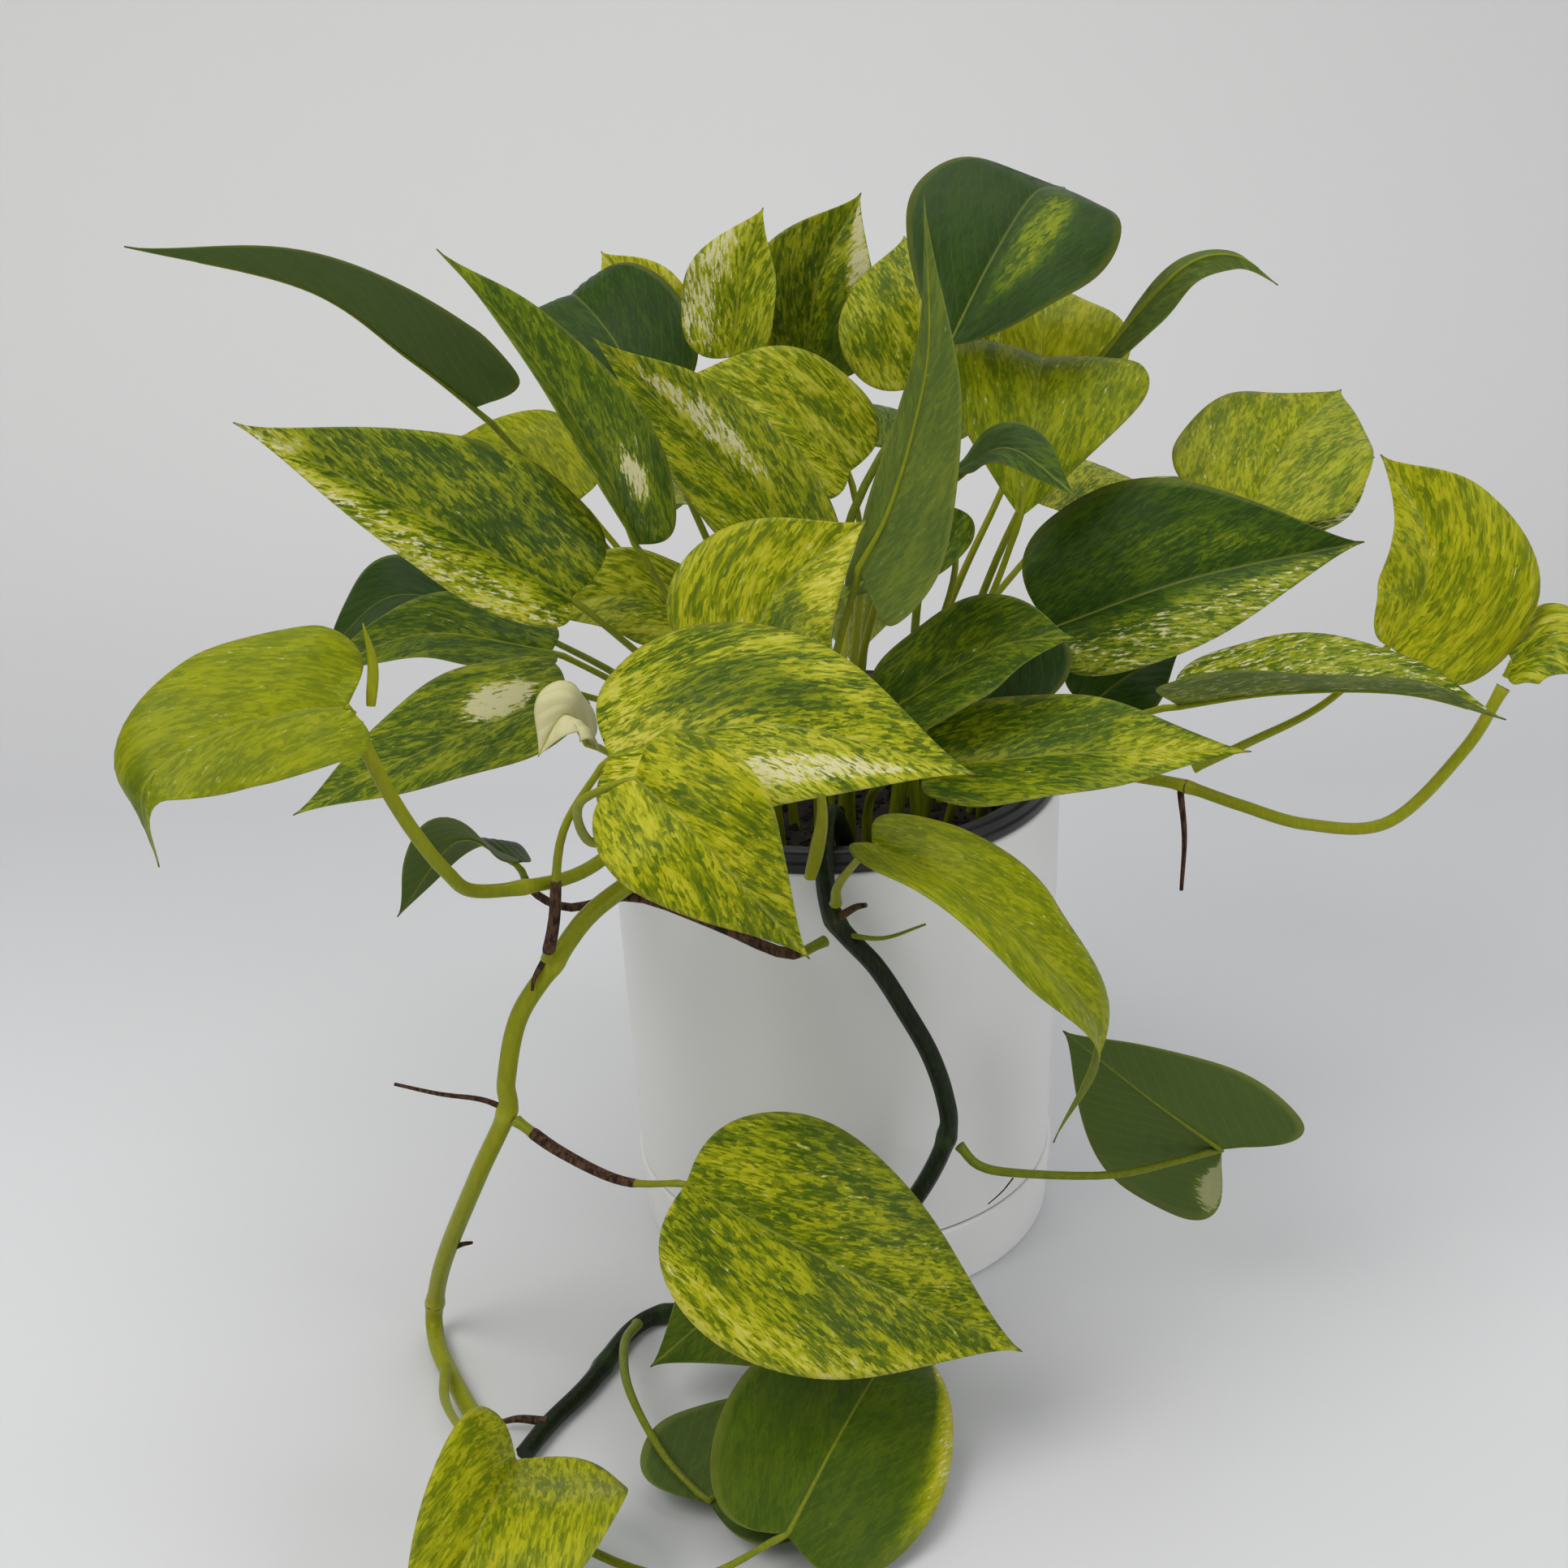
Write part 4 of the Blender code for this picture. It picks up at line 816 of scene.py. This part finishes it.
class Plan:
    """Points, faces and path edges with the values that the materials read at each point."""

    FLOATS = ("path", "girth", "light", "cream", "gold", "under", "rim", "dry", "mottle")

    def __init__(self):
        self.points = []
        self.faces = []
        self.edges = []
        self.vein = []
        self.values = {key: [] for key in self.FLOATS}

    def point(self, place, vein, **values):
        self.points.append(tuple(place))
        self.vein.append(tuple(vein))
        for key in self.FLOATS:
            self.values[key].append(values.get(key, 0.0))
        return len(self.points) - 1

    def strand(self, path, girths, tones, dry=None, seed=0.0):
        """A stem or root along a path, with its radius, light tone and dryness at each point."""
        last = None
        run = 0.0
        for i, place in enumerate(path):
            run += (place - path[i - 1]).length if i else 0.0
            here = self.point(place, (run, 0.0, seed), path=1.0, girth=girths[i], light=tones[i],
                              dry=dry[i] if dry else 0.0)
            if last is not None:
                self.edges.append((last, here))
            last = here

    def mesh(self, name, materials=()):
        made = bpy.data.meshes.new(name)
        made.from_pydata(self.points, self.edges, self.faces)
        for key in self.FLOATS:
            made.attributes.new(key, "FLOAT", "POINT").data.foreach_set("value", self.values[key])
        flat = [c for v in self.vein for c in v]
        made.attributes.new("vein", "FLOAT_VECTOR", "POINT").data.foreach_set("vector", flat)
        for finish in materials:
            made.materials.append(finish)
        made.shade_smooth()
        return made


def eased(low, high, value):
    t = min(max((value - low) / (high - low), 0.0), 1.0)
    return t * t * (3 - 2 * t)


def arc_out(fold, cup, share):
    """How far out and up a half blade is at a share of its width, folded up and rolled down again."""
    if abs(cup) < 1e-4:
        return share * math.cos(fold), share * math.sin(fold)
    end = fold + cup * share
    return (math.sin(end) - math.sin(fold)) / cup, (math.cos(fold) - math.cos(end)) / cup


def blade_tone(u, s, tone, zones):
    """Light, cream and gold at a place on the blade, with its patches mixed in."""
    mixed_in = dict(zip(TONES, tone))
    for z in zones:
        far = math.hypot((u - z["u"]) / z["long"], (s - z["s"]) / z["wide"])
        near = eased(PATCH_REACH, PATCH_CORE, far) if far < PATCH_REACH else 0.0
        for key in TONES:
            if z[key] is not None:
                mixed_in[key] += near * (z[key] - mixed_in[key])
    return mixed_in


def grow_leaf(name, shape, tree, skin, stem):
    """One leaf: its blade in two skins with a rim, and its stalk running on under it as the midrib."""
    extra = FINE.get(name, {})
    seed = random.Random(name).uniform(1.0, 9.0)
    shares = [(i / BLADE_ROWS) ** ROW_CROWDING for i in range(BLADE_ROWS + 1)]
    rib = [path_point(shape["rib"], u) for u in shares]
    along = tangents(rib)
    across = leaf_across(shape)
    half = shape["width"] / 2
    sides = extra.get("sides", (1.0, 1.0))
    folds = [math.radians(f) for f in extra.get("folds", (shape["fold"],) * 2)]
    cup = math.radians(extra.get("cup", PLAIN_CUP))
    wave = extra.get("wave", PLAIN_WAVE)
    twist = [math.radians(t) for t in extra.get("twist", (0, 0))]
    look = LOOKS[shape["tint"]]
    tone = tuple(extra.get(key, base) for key, base in zip(TONES, look))
    zones = extra.get("zones", ())
    mottle = extra.get("mottle", PLAIN_MOTTLE)
    steps = [(b - a).length for a, b in zip(rib, rib[1:])]
    length = sum(steps)
    run = [sum(steps[:i]) for i in range(len(rib))]
    plan = Plan()

    columns = [2 * j / BLADE_COLUMNS - 1 for j in range(BLADE_COLUMNS + 1)]
    columns = [math.copysign(abs(s) ** COLUMN_CROWDING, s) for s in columns]
    rows = []
    ups = []
    for i, (u, centre, tangent) in enumerate(zip(shares, rib, along)):
        side, up = squared(across, tangent)
        turn = Matrix.Rotation(twist[0] + (twist[1] - twist[0]) * u, 3, tangent)
        side, up = turn @ side, turn @ up
        ups.append(up)
        back = shape["lobe"] * length * (1 - u) ** 2
        row = {"top": [], "low": []}
        for s in columns:
            out = abs(s)
            k = 1 if s > 0 else 0
            reach = max(half * sides[k] * half_width(u, shape["widest"]), TIP_HALF_WIDTH)
            wide, high = arc_out(folds[k] * (1.1 - 0.25 * math.sin(math.pi * u)), cup, out)
            flat = reach * out
            drop = back * (flat / half) ** LOBE_POWER
            slant = run[i] - drop - VEIN_SLANT * flat - VEIN_BEND * flat * flat
            vein = (slant, s * reach, seed)
            beat = math.sin(math.tau * (EDGE_WAVES * u + seed) + 2.0 * k)
            ripple = wave * out ** 2 * beat * min(1, 4 * u * (1 - u) + 0.2)
            quilt = QUILT_DEPTH * math.cos(math.tau * slant / VEIN_SPACING) * min(1, 3 * out) * (1 - out ** 3)
            groove = -GROOVE_DEPTH * math.exp(-(flat / GROOVE_WIDTH) ** 2) * (1 - u)
            lift = reach * high + ripple * reach / half + groove - quilt * min(1, 3 * reach / half)
            place = centre + side * (math.copysign(reach * wide, s)) + up * lift - tangent * drop
            values = dict(mottle=mottle, rim=eased(RIM_START, 1.0, out),
                          dry=eased(DRY_TIP_START, 1.0, u) * DRY_TIP, **blade_tone(u, s, tone, zones))
            thick = BLADE_THICKNESS / 2 * (1 - EDGE_THINNING * out ** 2)
            row["top"].append(plan.point(place + up * thick, vein, under=0.0, **values))
            row["low"].append(plan.point(place - up * thick, vein, under=1.0, **values))
        rows.append(row)
    for a, b in zip(rows, rows[1:]):
        for j in range(BLADE_COLUMNS):
            plan.faces.append((a["top"][j], a["top"][j + 1], b["top"][j + 1], b["top"][j]))
            plan.faces.append((a["low"][j + 1], a["low"][j], b["low"][j], b["low"][j + 1]))
        plan.faces.append((a["low"][0], a["top"][0], b["top"][0], b["low"][0]))
        plan.faces.append((a["top"][-1], a["low"][-1], b["low"][-1], b["top"][-1]))
    for row, turned_round in ((rows[0], True), (rows[-1], False)):
        for j in range(BLADE_COLUMNS):
            strip = (row["top"][j], row["top"][j + 1], row["low"][j + 1], row["low"][j])
            plan.faces.append(strip[::-1] if turned_round else strip)

    stalk = smooth_path(stalk_path(shape, rib[0], along[0]), STALK_SAMPLES)
    ends = int(MIDRIB_SHARE * BLADE_ROWS)
    girths = [STALK_FOOT_RADIUS + (STALK_TIP_RADIUS - STALK_FOOT_RADIUS) * min(1, 1.2 * i / STALK_SAMPLES)
              for i in range(STALK_SAMPLES)]
    girths[0] *= 1.15
    girths[-2] *= 1.12
    ribs = [STALK_TIP_RADIUS + (MIDRIB_TIP_RADIUS - STALK_TIP_RADIUS) * (i / ends) ** 0.7
            for i in range(1, ends)]
    under_rib = [rib[i] - ups[i] * (0.62 * r + 0.0004 * (1 - i / BLADE_ROWS))
                 for i, r in zip(range(1, ends), ribs)]
    path = stalk[:-1] + under_rib
    first, last = extra.get("sheath", (0, 0))
    dry = [0.85 if first < i / STALK_SAMPLES < last else 0.0 for i in range(len(path))]
    girths = [g * (1 + 0.25 * d) for g, d in zip(girths[:-1] + ribs, dry)]
    plan.strand(path, girths, [0.36 + 0.42 * tone[0]] * len(path), dry, seed=seed)
    return grown(name + "_grown", plan.mesh(name, (skin,)), tree, {
        "Sides": STALK_SIDES, "Ridges": 2, "Ridge Depth": 0.06, "Stem Material": stem})


# ---------------------------------------------------------------- stems

def along_route(route, step):
    length = sum((Vector(b) - Vector(a)).length for a, b in zip(route, route[1:]))
    return smooth_path(route, 1 + round(length / step))


def node_ring(path, places):
    """Each point's swelling, from 0 to 1, near the stem's joints."""
    centres = [Vector(p) for p in places]
    return [max((math.exp(-((p - c).length / JOINT_REACH) ** 2) for c in centres), default=0.0) for p in path]


VINE_LOOKS = {
    "vine_front_left": {"radius": 0.0034, "tones": (0.56, 0.66), "ridges": (5, 0.03), "joints": (
        (-0.097, -0.120, 0.176), (-0.117, -0.128, 0.122), (-0.158, -0.094, 0.016))},
    "vine_front_right": {"radius": 0.0034, "tones": (0.05, 0.03), "ridges": (7, 0.07), "joints": (
        (-0.001, -0.097, 0.177), (0.037, -0.107, 0.092), (-0.072, -0.089, 0.004), (-0.092, -0.118, 0.004))},
    "vine_right": {"radius": 0.0022, "tones": (0.56, 0.66), "ridges": (5, 0.03), "joints": (
        (0.124, -0.070, 0.211), (0.230, -0.075, 0.247))},
    "vine_left": {"radius": 0.0024, "tones": (0.54, 0.62), "ridges": (5, 0.03), "joints": (
        (-0.103, -0.132, 0.211), (-0.145, -0.160, 0.283))},
}

# Thin roots and stubs that grow from the joints: points, radii at both ends, dryness
ROOTS = {
    "vine_front_left": (
        (((-0.118, -0.128, 0.124), (-0.126, -0.127, 0.127), (-0.140, -0.126, 0.129), (-0.156, -0.122, 0.131)),
         0.0011, 0.0006, 1.0),
        (((-0.146, -0.110, 0.052), (-0.141, -0.113, 0.056), (-0.137, -0.115, 0.058)), 0.0012, 0.0006, 0.7),
        (((-0.100, -0.122, 0.178), (-0.103, -0.126, 0.174), (-0.104, -0.128, 0.170)), 0.0012, 0.0005, 1.0),
    ),
    "vine_front_right": (
        (((0.000, -0.098, 0.178), (0.006, -0.102, 0.184), (0.010, -0.104, 0.186)), 0.0016, 0.0008, 1.0),
        (((0.004, -0.100, 0.172), (0.016, -0.106, 0.174), (0.030, -0.110, 0.181)), 0.0010, 0.0004, 0.0),
        (((0.060, -0.113, 0.078), (0.056, -0.114, 0.073), (0.051, -0.113, 0.067)), 0.0003, 0.0002, 1.0),
        (((-0.110, -0.152, 0.006), (-0.120, -0.150, 0.006), (-0.127, -0.149, 0.004)), 0.0018, 0.0009, 1.0),
    ),
    "vine_right": (
        (((0.122, -0.070, 0.209), (0.124, -0.070, 0.191), (0.124, -0.068, 0.169)), 0.0012, 0.0007, 1.0),
    ),
    "vine_left": (),
}


def grow_vine(name, route, tree, stem):
    look = VINE_LOOKS[name]
    plan = Plan()
    path = along_route(route, VINE_STEP)
    rings = node_ring(path, look["joints"])
    last = len(path) - 1
    girths = [look["radius"] * (0.96 + 0.20 * ring) for ring in rings]
    start, end = look["tones"]
    tones = [start + (end - start) * i / last + 0.15 * ring for i, ring in enumerate(rings)]
    plan.strand(path, girths, tones, [0.55 * ring ** 3 for ring in rings], seed=len(route))
    for points, thick, thin, dry in ROOTS[name]:
        root = along_route(points, ROOT_STEP)
        count = len(root) - 1
        plan.strand(root, [thick + (thin - thick) * i / count for i in range(count + 1)],
                    [0.5] * (count + 1), [dry] * (count + 1), seed=2.0)
    ridges, depth = look["ridges"]
    return grown(name + "_grown", plan.mesh(name), tree, {
        "Sides": VINE_SIDES, "Ridges": ridges, "Ridge Depth": depth, "Stem Material": stem})


SHOOT_RADIUS = {"shoot_front": 0.0026, "shoot_left": 0.0018}


def grow_shoot(name, points, tree, stem):
    """An unopened leaf: rolled tight, with the seam of its edge as a shallow ridge."""
    plan = Plan()
    path = smooth_path(points, SHOOT_RINGS)
    rise = [math.sin(math.pi * (0.2 + 0.8 * i / (SHOOT_RINGS - 1)) ** 0.8) for i in range(SHOOT_RINGS)]
    girths = [SHOOT_RADIUS[name] * (SHOOT_TIP_SHARE + 0.86 * share) for share in rise]
    plan.strand(path, girths, [0.66] * SHOOT_RINGS, seed=4.0)
    return grown(name + "_grown", plan.mesh(name), tree, {
        "Sides": SHOOT_SIDES, "Ridges": 3, "Ridge Depth": 0.10, "Stem Material": stem})


# ---------------------------------------------------------------- pots and soil

def turned(name, profile, finish, steps=144):
    """A solid of revolution from a half section that runs down its outside, its corners rounded."""
    mesh = bpy.data.meshes.new(name + "_section")
    open_ends = profile[0][0] == 0 and profile[-1][0] == 0
    count = len(profile)
    edges = [(i, i + 1) for i in range(count - 1)] + ([] if open_ends else [(count - 1, 0)])
    mesh.from_pydata([(r, 0.0, z) for r, z in profile], edges, [])
    blank = bpy.data.objects.new(name + "_blank", mesh)
    bpy.context.scene.collection.objects.link(blank)
    screw = blank.modifiers.new("Turn", "SCREW")
    screw.steps = steps
    screw.render_steps = steps
    screw.use_merge_vertices = True
    screw.merge_threshold = 0.00002
    soften = blank.modifiers.new("Soften", "BEVEL")
    soften.width = 0.0004
    soften.segments = 3
    soften.limit_method = "ANGLE"
    soften.angle_limit = math.radians(28)
    final = bpy.data.meshes.new_from_object(blank.evaluated_get(bpy.context.evaluated_depsgraph_get()))
    bpy.data.objects.remove(blank, do_unlink=True)
    final.materials.clear()
    final.materials.append(finish)
    final.shade_smooth()
    made = bpy.data.objects.new(name, final)
    bpy.context.scene.collection.objects.link(made)
    return made


def radius_of(node_name):
    low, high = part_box(node_name)
    return (high[0] - low[0]) / 2


def saucer(finish):
    low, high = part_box("pot_saucer")
    lip = radius_of("pot_saucer")
    foot = lip - 0.0018
    wall = 0.0022
    return turned("white_saucer", [
        (0, 0.003), (foot - wall - 0.001, 0.003), (foot - wall, 0.004), (lip - wall, high[2]),
        (lip - 0.0006, high[2]), (lip, high[2] - 0.0008), (foot, 0.0014), (foot - 0.0012, low[2]),
        (0.062, low[2]), (0.061, low[2] + 0.0008), (0, low[2] + 0.0008),
    ], finish)


def cover_pot(finish):
    """The white pot, rolled over at the lip, whose foot nests in the saucer."""
    low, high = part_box("cover_pot")
    rim = radius_of("cover_pot")
    foot = low[2]
    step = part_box("pot_saucer")[1][2] + GAP
    seam = 0.0838
    nest = 0.0802
    wall = 0.0026
    return turned("white_pot", [
        (0, foot + wall), (nest - wall - 0.001, foot + wall), (nest - wall, foot + wall + 0.001),
        (rim - wall, high[2]), (rim - 0.0008, high[2]), (rim, high[2] - 0.0008),
        (rim - 0.0001, high[2] - 0.003), (seam, step + 0.0006), (seam - 0.0005, step), (nest, step),
        (nest, foot + 0.001), (nest - 0.001, foot), (0, foot),
    ], finish)


def nursery_pot(finish):
    """The black grower's pot: a thin wall with a stepped, beaded rim."""
    low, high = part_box("nursery_pot")
    rim = radius_of("nursery_pot")
    under = POT_RIM + GAP
    top = high[2]
    wall = 0.0012
    body = 0.0806
    foot = 0.0620
    return turned("black_nursery_pot", [
        (0, low[2] + wall), (foot - wall, low[2] + wall), (body - wall, under), (body - wall, top - 0.0010),
        (body + 0.0002, top), (rim - 0.0022, top), (rim - 0.0010, top - 0.0008), (rim - 0.0008, top - 0.0040),
        (rim, top - 0.0048), (rim, under + 0.0004), (rim - 0.0006, under), (body, under), (foot, low[2]),
        (0, low[2]),
    ], finish)


def soil_surface(finish, tree):
    """The mix between the stems: a lumpy sheet just over the model's plain soil, strewn with crumbs."""
    radius = radius_of("potting_soil") - 0.0006
    mesh = bpy.data.meshes.new("soil_sheet")
    points = [(0.0, 0.0, SOIL_TOP + 0.0006)]
    for i in range(1, SOIL_RINGS + 1):
        r = radius * i / SOIL_RINGS
        for k in range(SOIL_SPOKES):
            a = math.tau * k / SOIL_SPOKES
            x, y = r * math.cos(a), r * math.sin(a)
            lump = noise.fractal(Vector((x, y, 0.0)) / LUMP_SPACING, 0.8, 2.0, 4)
            points.append((x, y, SOIL_TOP + 0.0008 + LUMP_HEIGHT * max(-0.6, lump)))
    faces = [(0, 1 + k, 1 + (k + 1) % SOIL_SPOKES) for k in range(SOIL_SPOKES)]
    for i in range(SOIL_RINGS - 1):
        for k in range(SOIL_SPOKES):
            a = 1 + i * SOIL_SPOKES + k
            b = 1 + i * SOIL_SPOKES + (k + 1) % SOIL_SPOKES
            faces.append((a, a + SOIL_SPOKES, b + SOIL_SPOKES, b))
    mesh.from_pydata(points, [], faces)
    mesh.shade_smooth()
    return grown("soil_crumbs", mesh, tree, {
        "Density": 52000.0, "Smallest": 0.0006, "Largest": 0.0024, "Seed": 11, "Crumb Material": finish})


# ---------------------------------------------------------------- room, light and camera

def backdrop():
    """A pale sweep: floor, a long curve up, and a wall behind. Its colour carries painted shade: greyer at
    the bend, and darker towards the right.
    """
    made, tree, shader = new_material("pale_paper_sweep_painted_shade")
    add = partial(node, tree)
    front, turn, bend, top, side = -9.0, 0.65, 0.55, 3.0, 9.0
    place = add("ShaderNodeTexCoord").outputs["Object"]
    across, away = add("ShaderNodeSeparateXYZ", (place,)).outputs[:2]
    # Painted shade: the paper white greys where the floor bends up, then lightens again up the wall
    depth = add(STEP, (away, -0.3, turn + bend))
    paper_and_painted_falloff = add(RAMP, (depth,), stops=PAPER_WHITES_AND_PAINTED_FALLOFF)
    # Painted shade: the paper greys towards +X, the side away from the window lamp
    shade = add(STEP, (across, -0.1, 0.7), **SMOOTH)
    shade = add(MATH, (shade, 0.14), operation="MULTIPLY")
    feed(tree, shader, {"Base Color": add(MIX, (shade, paper_and_painted_falloff, linear("#A9A9AA")), **COLOUR),
                        "Roughness": 0.85})
    line = [(front, 0.0)]
    line += [(turn + bend * math.sin(a), bend - bend * math.cos(a))
             for a in (math.pi / 2 * k / 24 for k in range(25))]
    line += [(turn + bend, top)]
    mesh = bpy.data.meshes.new("backdrop")
    points = [(x, y, z) for y, z in line for x in (-side, side)]
    mesh.from_pydata(points, [], [(2 * i, 2 * i + 1, 2 * i + 3, 2 * i + 2) for i in range(len(line) - 1)])
    mesh.materials.append(made)
    mesh.shade_smooth()
    sweep = bpy.data.objects.new("backdrop", mesh)
    bpy.context.scene.collection.objects.link(sweep)


def area_light(name, place, target, size, power, colour):
    data = bpy.data.lights.new(name, "AREA")
    data.shape = "DISK"
    data.size = size
    data.energy = power
    data.color = linear(colour)[:3]
    lamp = bpy.data.objects.new(name, data)
    lamp.location = place
    lamp.rotation_euler = (Vector(target) - Vector(place)).to_track_quat("-Z", "Y").to_euler()
    bpy.context.scene.collection.objects.link(lamp)


def lighting():
    world = bpy.data.worlds.new("soft_studio")
    world.use_nodes = True
    sky = world.node_tree.nodes["Background"]
    feed(world.node_tree, sky, {"Color": linear("#ECECEC"), "Strength": 0.46})
    bpy.context.scene.world = world
    area_light("window", (-1.1, -0.9, 1.9), (0.0, 0.0, 0.15), 1.4, 18.5, "#FFFDF8")
    area_light("ceiling", (0.2, 0.3, 2.3), (0.0, 0.0, 0.1), 1.8, 14.0, "#FFFFFF")
    area_light("fill", (1.5, -1.2, 1.0), (0.0, 0.0, 0.2), 1.2, 8.5, "#FDFDFF")


def camera():
    """In front of the plant and above it, looking down by 25 degrees."""
    place, lens = (0.0, -0.79, 0.55), 51.8
    yaw, pitch, roll = -0.024, 0.433, -0.043
    ahead = Vector((math.sin(yaw) * math.cos(pitch), math.cos(yaw) * math.cos(pitch), -math.sin(pitch)))
    level = Vector((math.cos(yaw), -math.sin(yaw), 0.0))
    rise = level.cross(ahead)
    right = level * math.cos(roll) + rise * math.sin(roll)
    up = rise * math.cos(roll) - level * math.sin(roll)
    data = bpy.data.cameras.new("camera")
    data.sensor_width = 36.0
    data.lens = lens
    eye = bpy.data.objects.new("camera", data)
    turn = Matrix((right, up, -ahead)).transposed().to_4x4()
    eye.matrix_world = Matrix.Translation(place) @ turn
    bpy.context.scene.collection.objects.link(eye)
    bpy.context.scene.camera = eye


# ---------------------------------------------------------------- the plant

def main():
    camera()
    lighting()
    backdrop()
    bpy.context.scene.view_settings.view_transform = "Standard"

    leaf_skin = leaf_material()
    stem = stem_material()
    white = plastic_material("moulded_white_polypropylene", "#EDEDEB", 0.36, 0.0009, 0.00004)
    black = plastic_material("moulded_black_polypropylene", "#0C0C0E", 0.36, 0.0012, 0.00010)
    mix = soil_material()
    stems = stem_tree()
    crumbs = crumb_tree()

    def settle(piece, slot, *nodes):
        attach(piece, "root")
        if nodes:
            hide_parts(*nodes)

    settle(saucer(white), "white_plastic", "pot_saucer")
    settle(cover_pot(white), "white_plastic", "cover_pot")
    settle(nursery_pot(black), "black_plastic", "nursery_pot")
    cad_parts["potting_soil"].material_slots[0].material = mix
    settle(soil_surface(mix, crumbs), "potting_soil")
    for name, points in SHOOTS.items():
        settle(grow_shoot(name, points, stems, stem), "stem", name)
    for name, route in VINES.items():
        settle(grow_vine(name, route, stems, stem), "stem", name)
    for name, shape in LEAVES.items():
        settle(grow_leaf(name, shape, stems, leaf_skin, stem), "leaf_" + shape["tint"], name)


main()
